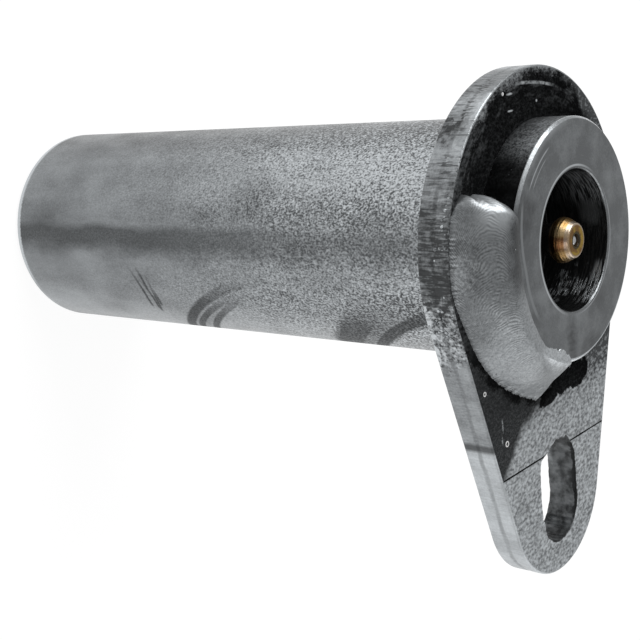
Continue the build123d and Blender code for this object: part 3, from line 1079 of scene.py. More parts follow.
def rounded(rows: Iterable[Row], steps: int = 4, hold: float = 0.12) -> Outline:
    """Rounds an outline's corners and adds points close beside them, which keep the flats flat.

    Args:
        rows: The outline's corners, each a row of Corner's fields.
        steps: Faces across each rounding.
        hold: Distance of the added points from a rounding.

    Returns:
        Points with radius, height and the zone that follows.
    """
    points: Outline = []
    corners = [Corner(*row) for row in rows]
    for number, corner in enumerate(corners):
        here, before, after = Vector((corner.r, corner.z)), None, None
        zone = corners[max(number - 1, 0)].zone
        if number:
            before = Vector((corners[number - 1].r, corners[number - 1].z)) - here
        if number + 1 < len(corners):
            after = Vector((corners[number + 1].r, corners[number + 1].z)) - here
        if before is None or after is None or not corner.rounding:
            for way, follows in ((before, zone), (None, corner.zone), (after, corner.zone)):
                if way is None:
                    points.append((here.x, here.y, follows))
                elif way.length > 4 * hold:
                    points.append((*(here + way.normalized() * hold), follows))
            continue
        a, b = before.normalized(), after.normalized()
        half = a.angle(b) / 2
        reach = min(corner.rounding / math.tan(half), before.length * 0.45, after.length * 0.45)
        centre = here + (a + b).normalized() * (reach * math.tan(half) / math.sin(half))
        first, last = here + a * reach - centre, here + b * reach - centre
        if before.length > reach + 4 * hold:
            points.append((*(here + a * (reach + hold)), zone))
        turn = first.angle_signed(last)
        for step in range(steps + 1):
            spot = centre + Matrix.Rotation(-turn * step / steps, 2) @ first
            ended = step == steps or corner.zone != zone
            points.append((*spot, corner.zone if ended else zone))
        if after.length > reach + 4 * hold:
            points.append((*(here + b * (reach + hold)), corner.zone))
    return points


def make_piece(name: str, points: Any, faces: Any, zones: Sequence[int] = ()) -> Piece:
    """Makes a mesh object from points in mm.

    Args:
        name: The piece's name.
        points: Its points.
        faces: Its faces, facing outwards.
        zones: Material number of each face, where it has more than one.

    Returns:
        The new object, at the origin.
    """
    mesh = bpy.data.meshes.new(name)
    faces = [tuple(int(i) for i in face) for face in faces]
    mesh.from_pydata([tuple(p) for p in np.asarray(points, float) * MM], [], faces)
    if len(zones):
        mesh.polygons.foreach_set("material_index", np.asarray(zones, np.int32))
    mesh.shade_smooth()
    mesh.set_sharp_from_angle(angle=math.radians(40))
    mesh.update()
    piece = bpy.data.objects.new(name, mesh)
    bpy.context.scene.collection.objects.link(piece)
    return piece


def turned(name: str, outline: Outline, around: int) -> Piece:
    """Turns an outline about Z, from the axis at the bottom, outside up, and back to the axis.

    Args:
        name: The piece's name.
        outline: Radius, height and the zone that follows, of each point.
        around: Faces round the axis.

    Returns:
        The new object.
    """
    turns = np.linspace(0, 2 * math.pi, around, endpoint=False)
    points, rows, faces, zones = [], [], [], []
    for r, z, _ in outline:
        if r < 1e-6:
            rows.append([len(points)] * around)
            points.append((0.0, 0.0, z))
        else:
            rows.append(list(range(len(points), len(points) + around)))
            points += [polar(r, t, z) for t in turns]
    for (_, _, zone), low, high in zip(outline, rows, rows[1:]):
        for i in range(around):
            j = (i + 1) % around
            face = list(dict.fromkeys((low[i], low[j], high[j], high[i])))
            if len(face) > 2:
                faces.append(face)
                zones.append(zone)
    return make_piece(name, points, faces, zones)


def plain_mesh(piece: Piece) -> Piece:
    """Bakes a piece's modifiers into its mesh and removes them.

    Args:
        piece: The piece.

    Returns:
        The same piece.
    """
    graph = bpy.context.evaluated_depsgraph_get()
    whole = piece.evaluated_get(graph)
    mesh = bpy.data.meshes.new_from_object(whole, preserve_all_data_layers=True, depsgraph=graph)
    piece.modifiers.clear()
    mesh.name = piece.name
    piece.data = mesh
    return piece


def cut(piece: Piece, tool: Piece, operation: str) -> Piece:
    """Joins, cuts or keeps what is common of two pieces, and deletes the second.

    Args:
        piece: The piece that is changed.
        tool: The other piece.
        operation: UNION, DIFFERENCE or INTERSECT.

    Returns:
        The changed piece.
    """
    work = piece.modifiers.new("cut", "BOOLEAN")
    work.operation, work.object, work.solver = operation, tool, "EXACT"
    plain_mesh(piece)
    bpy.data.objects.remove(tool)
    return piece


def store(piece: Piece, name: str, values: Any) -> None:
    """Stores a value or vector on each of a piece's points.

    Args:
        piece: The piece.
        name: The attribute's name.
        values: One number, or three, for each point.
    """
    values = np.asarray(values, np.float32)
    kind, field = ("FLOAT_VECTOR", "vector") if values.ndim == 2 else ("FLOAT", "value")
    attribute = piece.data.attributes.new(name, kind, "POINT")
    attribute.data.foreach_set(field, values.ravel())


def mend(piece: Piece, merge: float = 0.0, add: Callable[[Any], None] | None = None) -> None:
    """Merges a piece's doubles, or turns its faces outwards.

    Args:
        piece: The piece.
        merge: Distance in metres within which points are merged, or 0 to turn faces outwards.
        add: Adds to the mesh before its faces are turned.
    """
    mesh = bmesh.new()
    mesh.from_mesh(piece.data)
    if add:
        add(mesh)
    if merge:
        bmesh.ops.remove_doubles(mesh, verts=mesh.verts, dist=merge)
    else:
        bmesh.ops.recalc_face_normals(mesh, faces=mesh.faces)
    mesh.to_mesh(piece.data)
    mesh.free()


# Geometry trees


class Relief:
    """Base of the geometry trees: builds a tree once and runs it on a piece."""

    name: ClassVar[str]
    inputs: ClassVar[dict[str, Any]]

    def __init__(self) -> None:
        """Builds the tree."""
        self.tree = bpy.data.node_groups.new(self.name, "GeometryNodeTree")
        self.tree.is_modifier = True
        inputs = {"Geometry": "Geometry", **self.inputs}
        made = open_group(self.tree, inputs, ["Geometry"], "Geometry")
        self.sheet, self.given, self.result = made
        self.build()

    def build(self) -> None:
        """Adds the tree's nodes."""

    def stored(self, name: str, kind: str = "FLOAT") -> Value:
        """Reads a stored value of each point."""
        inputs = {"Name": name}
        return self.sheet.add("GeometryNodeInputNamedAttribute", inputs, data_type=kind)

    def moved(self, geometry: Value, way: Value, depth: Value) -> Value:
        """Moves each point by a depth in mm along a direction."""
        inputs = {0: way, "Scale": depth * MM}
        offset = self.sheet.add("ShaderNodeVectorMath", inputs, operation="SCALE")
        return self.sheet.add("GeometryNodeSetPosition", {"Geometry": geometry, "Offset": offset})

    def end(self, geometry: Value, *finishes: Given) -> None:
        """Ends the tree in real meshes with their materials.

        Args:
            geometry: What the tree made.
            finishes: Inputs of each Set Material node: a material and where it goes.
        """
        geometry = self.sheet.add("GeometryNodeRealizeInstances", {"Geometry": geometry})
        for inputs in finishes:
            geometry = self.sheet.add("GeometryNodeSetMaterial", {"Geometry": geometry, **inputs})
        self.sheet.feed(self.result.inputs[0], geometry)

    def run(self, piece: Piece, **values: Any) -> Piece:
        """Runs the tree on a piece and keeps the result as its plain mesh.

        Args:
            piece: The piece.
            values: The tree's inputs, with _ for a space.

        Returns:
            The piece.
        """
        modifier = piece.modifiers.new(self.name, "NODES")
        modifier.node_group = self.tree
        items = self.tree.interface.items_tree
        sockets = {item.name: item.identifier for item in items if item.in_out == "INPUT"}
        for name, value in values.items():
            modifier[sockets[name.replace("_", " ")]] = value
        return plain_mesh(piece)


class DragLines(Relief):
    """Drag lines of the cutting flame down a plate's walls, with the ledge left half way down."""

    name = "drag_lines"
    inputs = {
        "Line Depth": 0.04, "Line Pitch": 0.55, "Lag": 0.5, "Ledge Depth": 0.1,
        "Ledge Height": 2.25, "Thickness": 4.75, "Seed": 3.0,
        "Wall Finish": "Material", "Face Finish": "Material",
    }

    def build(self) -> None:
        """Adds the tree's nodes."""
        sheet, given = self.sheet, self.given
        drop = self.stored("drop")
        share = drop / given["Thickness"]
        pitch = (self.stored("along") + share * share * given["Lag"]) / given["Line Pitch"]
        spot = sheet.join(pitch, share * 1.1, given["Seed"])
        deep = sheet.noise(spot, 1, 2, 0.55).step(0.68, 0.3) * given["Line Depth"]
        line = given["Ledge Height"] + (sheet.noise(spot, 0.12, 1) - 0.5) * 0.9
        groove = abs(drop - line).step(0.42, 0) * given["Ledge Depth"]
        inward = self.stored("inward", "FLOAT_VECTOR")
        moved = self.moved(given["Geometry"], inward, (deep + groove) * self.stored("wall"))
        walls = {"Material": given["Wall Finish"], "Selection": self.stored("side") > 0.5}
        self.end(moved, {"Material": given["Face Finish"]}, walls)


class FreezeLines(Relief):
    """Fine bowed ripples that the weld pool left as it froze, with small pits."""

    name = "freeze_lines"
    inputs = {
        "Ripple Height": 0.011, "Ripple Pitch": 0.43, "Bow": 8.0, "Wander": 2.4, "Lump": 0.2,
        "Seed": 1.0, "Finish": "Material",
    }

    def build(self) -> None:
        """Adds the tree's nodes."""
        sheet, given, seed = self.sheet, self.given, self.given["Seed"]
        place = sheet.add("GeometryNodeInputPosition").scale(1000, 1000, 1000)
        place = sheet.vector("ADD", place, sheet.join(seed, seed, seed))
        side = self.stored("across") * 2 - 1
        swirl = sheet.noise(place, 0.28, 2) - 0.5
        phase = self.stored("along") - side * side * given["Bow"] + swirl * given["Wander"]
        wave = (phase / given["Ripple Pitch"] * (2 * math.pi)).sine()
        wave *= sheet.noise(place, 0.55, 1).step(0.3, 0.66)
        inputs = {"Vector": place, "Scale": 0.42}
        pit = sheet.add("ShaderNodeTexVoronoi", inputs, "Distance").step(0.16, 0.05) * -0.05
        total = wave * given["Ripple Height"] + (swirl * given["Lump"] + pit)
        normal = sheet.add("GeometryNodeInputNormal")
        moved = self.moved(given["Geometry"], normal, total * self.stored("skin"))
        inputs = {"Geometry": moved, "Name": "ripple", "Value": wave * 0.5 + 0.5}
        settings = {"data_type": "FLOAT", "domain": "POINT"}
        kept = sheet.add("GeometryNodeStoreNamedAttribute", inputs, **settings)
        self.end(kept, {"Material": given["Finish"]})


class SpatterBeads(Relief):
    """Beads of weld spatter, scattered where a surface was near the arc."""

    name = "spatter_beads"
    inputs = {"Beads": 0.05, "Smallest": 0.12, "Largest": 0.42, "Seed": 7, "Finish": "Material"}

    def build(self) -> None:
        """Adds the tree's nodes."""
        sheet, given, seed = self.sheet, self.given, self.given["Seed"]
        density = self.stored("spatter") * given["Beads"] * 1e6
        inputs = {"Mesh": given["Geometry"], "Density": density, "Seed": seed}
        points = sheet.node("GeometryNodeDistributePointsOnFaces", inputs).outputs
        bead = sheet.add("GeometryNodeMeshIcoSphere", {"Radius": MM, "Subdivisions": 2})
        inputs = {"Min": 0.0, "Max": 1.0, "Seed": seed}
        chance = sheet.add("FunctionNodeRandomValue", inputs, "Value", data_type="FLOAT")
        small = sheet.math("POWER", chance, 2)
        size = small.spread(given["Smallest"], given["Largest"])
        inputs = {name: Value(sheet, points[name]) for name in ("Points", "Rotation")}
        inputs |= {"Instance": bead, "Scale": sheet.join(size, size, size * 0.7)}
        beads = sheet.add("GeometryNodeInstanceOnPoints", inputs)
        self.end(beads, {"Material": given["Finish"]})


class CoilSpring(Relief):
    """A compression spring of round wire, wound up the Z axis."""

    name = "coil_spring"
    inputs = {
        "Bottom": 0.0, "Height": 10.0, "Coil Radius": 1.0, "Wire Radius": 0.15, "Turns": 5.0,
        "Finish": "Material",
    }

    def build(self) -> None:
        """Adds the tree's nodes."""
        sheet, given = self.sheet, self.given
        radius = given["Coil Radius"] * MM
        inputs = {"Resolution": 40, "Rotations": given["Turns"], "Height": given["Height"] * MM}
        inputs |= {"Start Radius": radius, "End Radius": radius}
        coil = sheet.add("GeometryNodeCurveSpiral", inputs)
        lift = sheet.join(0, 0, given["Bottom"] * MM)
        coil = sheet.add("GeometryNodeSetPosition", {"Geometry": coil, "Offset": lift})
        inputs = {"Resolution": 14, "Radius": given["Wire Radius"] * MM}
        wire = sheet.add("GeometryNodeCurvePrimitiveCircle", inputs, "Curve")
        inputs = {"Curve": coil, "Profile Curve": wire, "Fill Caps": True}
        self.end(sheet.add("GeometryNodeCurveToMesh", inputs), {"Material": given["Finish"]})


# The pin's sub-assemblies


@dataclass
class TurnedBar:
    """The pin's bar: shank, shoulder, head, counterbore, tapped hole, gallery and outlet."""

    shank_radius: float = 17.5
    shank_length: float = 95.5
    end_chamfer: float = 0.8
    shoulder: float = 0.25
    head_face: float = 105.65
    head_chamfer: float = 0.4
    counterbore_radius: float = 10.0
    counterbore_floor: float = 95.6
    counterbore_chamfer: float = 0.2
    hole_radius: float = 4.02
    hole_bottom: float = 88.9
    gallery_radius: float = 2.25
    gallery_bottom: float = 44.75
    drill_point: float = 1.352
    outlet_height: float = 47.0
    outlet_edge: float = 0.25
    around: int = 288
    around_outlet: int = 96

    def outline(self) -> Outline:
        """Returns the bar's outline with its roundings."""
        shank, side, face, rim, bore = (zone.value for zone in Zone)
        head, mouth = self.shank_radius - self.shoulder, self.counterbore_radius
        return rounded([
            (0.0, 0.0, 0.0, shank),
            (self.shank_radius - self.end_chamfer, 0.0, 0.2, rim),
            (self.shank_radius, self.end_chamfer, 0.5, shank),
            (self.shank_radius, self.shank_length, 0.0, shank),
            (head, self.shank_length + self.shoulder, 0.0, side),
            (head, self.head_face - self.head_chamfer, 0.2, rim),
            (head - self.head_chamfer, self.head_face, 0.2, face),
            (mouth + self.counterbore_chamfer, self.head_face, 0.12, rim),
            (mouth, self.head_face - self.counterbore_chamfer, 0.12, bore),
            (mouth, self.counterbore_floor, 0.25, bore),
            (self.hole_radius, self.counterbore_floor, 0.0, bore),
            (self.hole_radius, self.hole_bottom, 0.0, bore),
            (self.gallery_radius, self.hole_bottom, 0.0, bore),
            (self.gallery_radius, self.gallery_bottom, 0.0, bore),
            (0.0, self.gallery_bottom - self.drill_point, 0.0, bore),
        ])

    def build(self, effects: Effects) -> Piece:
        """Turns the bar and drills its outlet.

        Args:
            effects: The shared effects.

        Returns:
            The bar.
        """
        bar = turned("pin_bar", self.outline(), self.around)
        radius, mouth = self.gallery_radius, self.shank_radius - self.outlet_edge
        flare = 2 * self.outlet_edge
        drill = ((0, 0), (radius, 0), (radius, mouth), (radius + flare, mouth + flare))
        drill += ((radius + flare, mouth + 3), (0, mouth + 3))
        drill = [(r, z, Zone.BORE.value) for r, z in drill]
        tool = turned("outlet_drill", drill, self.around_outlet)
        for finish in (GroundSteel(), SootedSteel(), HeadFace(), RimSteel(), ShadedBore()):
            material = finish.material(effects)
            bar.data.materials.append(material)
            tool.data.materials.append(material)
        lift = Matrix.Translation((0.0, 0.0, self.outlet_height * MM))
        tool.data.transform(lift @ Matrix.Rotation(math.radians(90), 4, "Y"))
        cut(bar, tool, "DIFFERENCE")
        bar.data.set_sharp_from_angle(angle=math.radians(40))
        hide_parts("pin_shaft")
        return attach(bar, "pin")


@dataclass
class KeeperPlate:
    """The flame-cut keeper plate, with its ragged slot and a scribed line across the tail.

    Attributes:
        slot_edge: Angle about each end of the slot, and how far its edge lies into the metal.
        slot_waves: Depth, waves a mm and start of each wave round the slot.
        wall_fade: Drop over which the drag lines begin below the upper face, and end.
    """

    bottom: float = 95.5
    thickness: float = 4.75
    lobe_radius: float = 24.5
    tail_radius: float = 13.0
    tail_distance: float = 38.5
    arris: float = 0.3
    bore_radius: float = 17.3
    bore_sides: int = 240
    slot_radius: float = 5.35
    slot_half: float = 2.9
    slot_distance: float = 38.5
    slot_arris: float = 0.12
    slot_lines: float = 0.35
    wall_rows: tuple[int, int] = (18, 14)
    wall_fade: tuple[float, float] = (0.6, 0.35)
    scribe: Rows = ((-15.6, -31.35), (15.7, -32.95))
    scribe_width: float = 0.4
    scribe_depth: float = 0.16
    scribe_steps: int = 90
    pitch: float = 0.15
    fill_pitch: float = 0.9
    fill_shift: float = 0.2
    wave_depth: float = 0.05
    seed: int = 11
    slot_waves: Rows = ((0.05, 0.21, 0.1), (0.035, 0.55, 0.7), (0.025, 1.1, 0.3))
    slot_edge: Rows = (
        (50, 0), (58, 0.05), (61, -0.38), (72, -0.32), (80, -0.5), (92, -0.4), (98, -0.62),
        (108, -0.82), (116, -0.7), (120, -0.95), (130, -0.5), (139, 0), (145, 0.24), (155, 0.1),
        (170, -0.2), (180, -0.05), (188, -0.5), (198, -0.45), (214, 0),
    )

    def walk(self, arcs: Rows, flank: float) -> tuple[np.ndarray, ...]:
        """Walks counter-clockwise round two arcs that are joined by two flanks.

        Args:
            arcs: Each arc's centre along Y, its radius, first angle and turn in radians.
            flank: Length of a flank.

        Returns:
            Points, outward directions, mm along, and angles.
        """
        points, normals, angles = [], [], []
        for middle, radius, start, turn in arcs:
            count = round(radius * turn / self.pitch)
            spots = [(start + turn * step / count, 0.0) for step in range(count)]
            count = round(flank / self.pitch)
            spots += [(start + turn, flank * step / count) for step in range(count)]
            for t, way in spots:
                x, y = math.cos(t), math.sin(t)
                points.append((radius * x - y * way, middle + radius * y + x * way))
                normals.append((x, y))
                angles.append(math.degrees(t))
        points = np.array(points)
        steps = np.linalg.norm(np.roll(points, -1, 0) - points, axis=1)
        along = np.concatenate([[0.0], np.cumsum(steps)[:-1]])
        return points, np.array(normals), along, np.array(angles)

    def outer_loop(self) -> tuple[np.ndarray, ...]:
        """Returns the points of the plate's outline, outward directions and mm along."""
        lean = math.asin((self.lobe_radius - self.tail_radius) / self.tail_distance)
        lobe = (0.0, self.lobe_radius, -lean, math.pi + 2 * lean)
        tail = (-self.tail_distance, self.tail_radius, math.pi + lean, math.pi - 2 * lean)
        return self.walk((lobe, tail), self.tail_distance * math.cos(lean))[:3]

    def slot_loop(self) -> tuple[np.ndarray, ...]:
        """Returns the slot's points with their ragged edge, directions into metal and mm along."""
        upper = (self.slot_half - self.slot_distance, self.slot_radius, 0.0, math.pi)
        lower = (-self.slot_half - self.slot_distance, self.slot_radius, math.pi, math.pi)
        points, normals, along, angles = self.walk((upper, lower), 2 * self.slot_half)
        edge = np.interp(angles, *np.array(self.slot_edge).T)
        for depth, often, start in self.slot_waves:
            edge += depth * np.sin(2 * math.pi * (along * often + start))
        return points + normals * edge[:, None], normals, along

    def rows(self, arris: float, count: int) -> list[tuple[float, float]]:
        """Steps down a wall.

        Args:
            arris: Radius of the rounding at both edges.
            count: Rows between the roundings.

        Returns:
            Pairs of inset and drop from the upper face.
        """
        turns = np.radians([0, 30, 60, 90])
        bend = [(arris * (1 - math.sin(a)), arris * (1 - math.cos(a))) for a in turns]
        middle = [(0.0, d) for d in np.linspace(arris, self.thickness - arris, count)[1:-1]]
        return bend + middle + [(inset, self.thickness - drop) for inset, drop in reversed(bend)]

    def face_points(self, loops: Sequence[np.ndarray], upper: bool) -> tuple[np.ndarray, list[Any]]:
        """Fills one face of the plate between its loops.

        Args:
            loops: Outline, bore and slot loops.
            upper: Whether it is the upper face, which has the scribed line.

        Returns:
            Plan points with their drop, and triangles.
        """
        plan, edges = [], []
        for loop in loops:
            first, count = len(plan), len(loop)
            plan += [Vector(p) for p in loop]
            edges += [(first + i, first + (i + 1) % count) for i in range(count)]
        low, high = loops[0].min(0), loops[0].max(0)
        rng = np.random.default_rng(self.seed)
        for x in np.arange(low[0], high[0], self.fill_pitch):
            for y in np.arange(low[1], high[1], self.fill_pitch):
                plan.append(Vector((x, y) + rng.uniform(-self.fill_shift, self.fill_shift, 2)))
        (ax, ay), (bx, by) = self.scribe
        start, way, steps = Vector((ax, ay)), Vector((bx - ax, by - ay)), self.scribe_steps
        side = Vector((-way.y, way.x)).normalized() * (self.scribe_width / 2)
        for shift in (side, side * 0, -side) if upper else ():
            first = len(plan)
            plan += [start + way * t + shift for t in np.linspace(0, 1, steps)]
            edges += [(first + i, first + i + 1) for i in range(steps - 1)]
        found, _, faces, *_ = delaunay_2d_cdt(plan, edges, [], 1, 1e-5)
        points = np.array([tuple(p) for p in found])
        drop = self.face_relief(points, loops)
        if upper:
            unit, off = np.array((bx - ax, by - ay)), points - np.array((ax, ay))
            length = np.linalg.norm(unit)
            unit /= length
            along, across = off @ unit, np.abs(off @ np.array((-unit[1], unit[0])))
            share = 2 * across / self.scribe_width
            on = (along > 0.3) & (along < length - 0.3) & (share < 1)
            drop = np.where(on, np.maximum(drop, self.scribe_depth * (1 - share)), drop)
        kept = []
        for face in faces:
            spot = points[list(face)].mean(0)
            out_of_bore = np.hypot(*spot) > self.bore_radius
            if out_of_bore and self.in_loop(spot, loops[0]) and not self.in_loop(spot, loops[2]):
                kept.append(tuple(face))
        return np.column_stack([points, drop]), kept

    @staticmethod
    def in_loop(spot: np.ndarray, loop: np.ndarray) -> bool:
        """Says whether a plan point lies inside a loop.

        Args:
            spot: The point.
            loop: The loop's points.

        Returns:
            Whether it does.
        """
        ax, ay = loop[:, 0], loop[:, 1]
        bx, by = np.roll(ax, -1), np.roll(ay, -1)
        over = (ay > spot[1]) != (by > spot[1])
        with np.errstate(divide="ignore", invalid="ignore"):
            cross = (bx - ax) * (spot[1] - ay) / (by - ay) + ax
        return bool(np.sum(over & (spot[0] < cross)) % 2)

    def face_relief(self, points: np.ndarray, loops: Sequence[np.ndarray]) -> np.ndarray:
        """Waves of the rolled plate, none at its edges.

        Args:
            points: Plan points.
            loops: The loops, which stay level.

        Returns:
            Drop below the face of each point.
        """
        edge = np.full(len(points), 1e9)
        for loop in loops:
            for start in range(0, len(points), 4000):
                part = slice(start, start + 4000)
                gap = np.linalg.norm(points[part, None, :] - loop[None, ::4, :], axis=2).min(1)
                edge[part] = np.minimum(edge[part], gap)
        x, y = points.T
        wave = 0.5 + 0.25 * (np.sin(0.9 * x + 0.4 * y + 1) + np.sin(0.35 * x - 1.1 * y + 2))
        return self.wave_depth * wave * np.clip((edge - 0.35) / 1.2, 0, 1)

    def build(self, effects: Effects, drag_lines: DragLines) -> Piece:
        """Builds the plate as one closed mesh.

        Args:
            effects: The shared effects.
            drag_lines: Tree that cuts the walls' drag lines.

        Returns:
            The plate.
        """
        top, thick = self.bottom + self.thickness, self.thickness
        points, faces, facts = [], [], []
        outer, outward, outer_along = self.outer_loop()
        slot, into, slot_along = self.slot_loop()
        turns = np.linspace(0, 2 * math.pi, self.bore_sides, endpoint=False)
        bore = np.column_stack([np.cos(turns), np.sin(turns)])
        outer_rows = self.rows(self.arris, self.wall_rows[0])
        slot_rows = self.rows(self.slot_arris, self.wall_rows[1])
        walls = (
            (outer, -outward, outer_along, outer_rows, 1.0),
            (slot, into, slot_along, slot_rows, self.slot_lines),
            (bore * self.bore_radius, bore, turns, [(0.0, 0.0), (0.0, thick)], 0.0),
        )
        for number, (loop, inward, along, rows, weight) in enumerate(walls):
            count, start = len(loop), len(points)
            for row, (inset, drop) in enumerate(rows):
                points += [(x, y, top - drop) for x, y in loop + inward * inset]
                fades = drop / self.wall_fade[0], (thick - drop) / self.wall_fade[1]
                wall = weight * min(1.0, *fades)
                facts += [(a, drop, wall, *n) for a, n in zip(along, inward)]
                low, high = start + row * count, start + (row - 1) * count
                for i in range(count if row else 0):
                    j = (i + 1) % count
                    face = (high + i, low + i, low + j, high + j)
                    faces.append(face[::-1] if number else face)
        walled = len(faces)
        for upper, end in ((True, 0), (False, -1)):
            rims = [loop + inward * rows[end][0] for loop, inward, _, rows, _ in walls]
            plan, triangles = self.face_points((rims[0], rims[2], rims[1]), upper)
            start, drop = len(points), 0.0 if upper else thick
            points += [(x, y, top - d if upper else self.bottom + d) for x, y, d in plan]
            facts += [(0.0, drop, 0.0, 0.0, 0.0)] * len(plan)
            faces += [[start + i for i in (face if upper else face[::-1])] for face in triangles]
        plate = make_piece("keeper_plate_cut", points, faces)
        facts = np.array(facts)
        for column, name in enumerate(("along", "drop", "wall")):
            store(plate, name, facts[:, column])
        store(plate, "inward", np.pad(facts[:, 3:], ((0, 0), (0, 1))))
        side = plate.data.attributes.new("side", "FLOAT", "FACE")
        sides = np.repeat([1.0, 0.0], [walled, len(faces) - walled])
        side.data.foreach_set("value", sides.astype(np.float32))
        mend(plate, merge=2e-6)
        finishes = (finish.material(effects) for finish in (FlameCut(), PlateScale()))
        drag_lines.run(plate, **dict(zip(("Wall_Finish", "Face_Finish"), finishes)))
        plate.data.set_sharp_from_angle(angle=math.radians(50))
        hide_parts("keeper_plate")
        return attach(plate, "pin")


@dataclass
class WeldSeam:
    """The weld bead, from its rounded start beside the head to its steep end at the tail.

    Attributes:
        crust_edge: Angle and radius at which the crust on the head's face ends.
        crust_waves: Size, pace and start of each wave of that edge.
        toe_waves: The same for the toe.
        nose_waves: The same for the bead's start, over the share of the way across.
        late: Share of the way across, and degrees by which the start lies later there.
        crater: The same, by which the end lies earlier.
        stations: Angle, and there the toe's place, the lap on the head, the height and the swell,
            as shares.
    """

    plate_top: float = 100.25
    head_height: float = 5.4
    head_radius: float = 17.25
    toe_radius: float = 24.2
    root_radius: float = 13.25
    cover: float = 0.4
    lap: float = 2.3
    sink: float = 0.3
    crust: float = 0.16
    crust_edge: Rows = ((232, 15.6), (247, 15.3), (255, 15.9), (259, 16.8))
    crust_waves: Rows = ((0.14, 0.45, 0), (0.1, 1.3, 1), (0.05, 3.1, 2))
    toe_steepness: float = 0.2
    toe_waves: Rows = ((0.07, 1.1, 0.4), (0.06, 2.3, 2), (0.05, 4.7, 1))
    shoulder: float = 0.5
    peak: float = 1.22
    peak_out: float = 0.25
    start: float = 152.6
    end: float = 260.5
    blur: float = 5.0
    nose: float = 11.0
    nose_waves: Rows = ((0.45, 16, 1), (0.25, 37, 0.5))
    dome: float = 6.0
    late: Rows = (
        (0, 9.5), (0.05, 6), (0.12, 4.1), (0.2, 2.3), (0.3, 0.5), (0.36, -0.1), (0.5, -0.5),
        (0.62, -1.5), (0.67, -2.2), (0.76, -2.5), (0.86, -1.9), (1, -0.6),
    )
    crater: Rows = (
        (0, 2.5), (0.1, 2.4), (0.3, 2.8), (0.45, 3.6), (0.6, 3.5), (0.75, 2), (0.86, 0.5),
        (1, -1.5),
    )
    crater_reach: float = 18.0
    crater_spot: Row = (249.5, 19.2, 1.6)
    middle_radius: float = 20.5
    columns: int = 560
    rows: int = 100
    stations: Rows = (
        (152.6, 0.99, 0.10, 1, 1), (157, 0.99, 0.38, 1, 1), (165, 0.99, 0.60, 1, 1),
        (175, 0.99, 0.86, 1, 1), (187, 0.99, 0.98, 1, 1), (191, 0.90, 0.99, 1, 1),
        (200, 0.81, 0.97, 1, 1), (212, 0.79, 0.92, 1, 0.95), (224, 0.77, 0.86, 1, 0.90),
        (236, 0.75, 0.74, 1, 0.80), (249, 0.78, 0.88, 1, 0.60), (256, 0.82, 0.62, 1, 0.40),
        (260.5, 0.87, 0.15, 0.99, 0.15),
    )

    def slice(self, angle: float, count: int) -> np.ndarray:
        """Works out one slice across the bead.

        Args:
            angle: Angle about the axis.
            count: Points across.

        Returns:
            Radius and height above the plate of each point, from the toe to the lap.
        """
        table = np.array(self.stations)
        blur = np.linspace(-1, 1, 9) * min(self.blur, angle - self.start, self.end - angle)
        toe_share, lap_share, height_share, swell = (
            np.interp(angle + blur, table[:, 0], column).mean() for column in table.T[1:]
        )
        land = self.toe_radius - self.head_radius
        height = self.head_height * height_share
        start = np.array((self.head_radius + land * toe_share, 0.0))
        last = np.array((self.head_radius - self.lap * lap_share - self.sink, height - self.sink))
        lap_light = height + self.cover
        low = np.array((start[0] - self.toe_steepness * land, self.shoulder * lap_light))
        top = np.array((self.head_radius + self.peak_out * land, self.peak * lap_light))
        chord = last - start
        low, top = (
            start + chord * share + swell * (spot - start - chord * share)
            for share, spot in ((1 / 3, low), (2 / 3, top))
        )
        t = np.linspace(0, 1, count)[:, None]
        u = 1 - t
        return u**3 * start + 3 * u**2 * t * low + 3 * u * t**2 * top + t**3 * last

    @staticmethod
    def waves(table: Rows, place: float) -> float:
        """Adds up a table's waves at a place."""
        return sum(size * math.sin(place * pace + start) for size, pace, start in table)

    def crusted(self, angle: float, radius: float, height: float) -> float:
        """Raises the crust that the end of the bead leaves on the head's edge.

        Args:
            angle: Angle about the axis.
            radius: The point's radius.
            height: The point's height above the plate.

        Returns:
            The height with the crust.
        """
        share = max(0.0, min(1.0, (angle - 228.0) / 14.0, (259.5 - angle) / 3.0))
        edge = float(np.interp(angle, *np.array(self.crust_edge).T))
        rise = min(1.0, (radius - edge - self.waves(self.crust_waves, angle)) / 0.7)
        if share * rise <= 0:
            return height
        fall = max(0.0, radius - self.head_radius)
        miss = self.head_height + self.crust * rise - fall * (0.75 + 0.1 * fall) - height
        return height + share * min(1.0, rise * 3) * (miss + math.hypot(miss, 0.15)) / 2

    @staticmethod
    def smooth(table: Rows, shares: np.ndarray) -> np.ndarray:
        """Reads a table of shares and degrees, rounding its corners."""
        columns, shifts = np.array(table).T, np.linspace(-0.03, 0.03, 7)
        return np.mean([np.interp(shares + shift, *columns) for shift in shifts], axis=0)

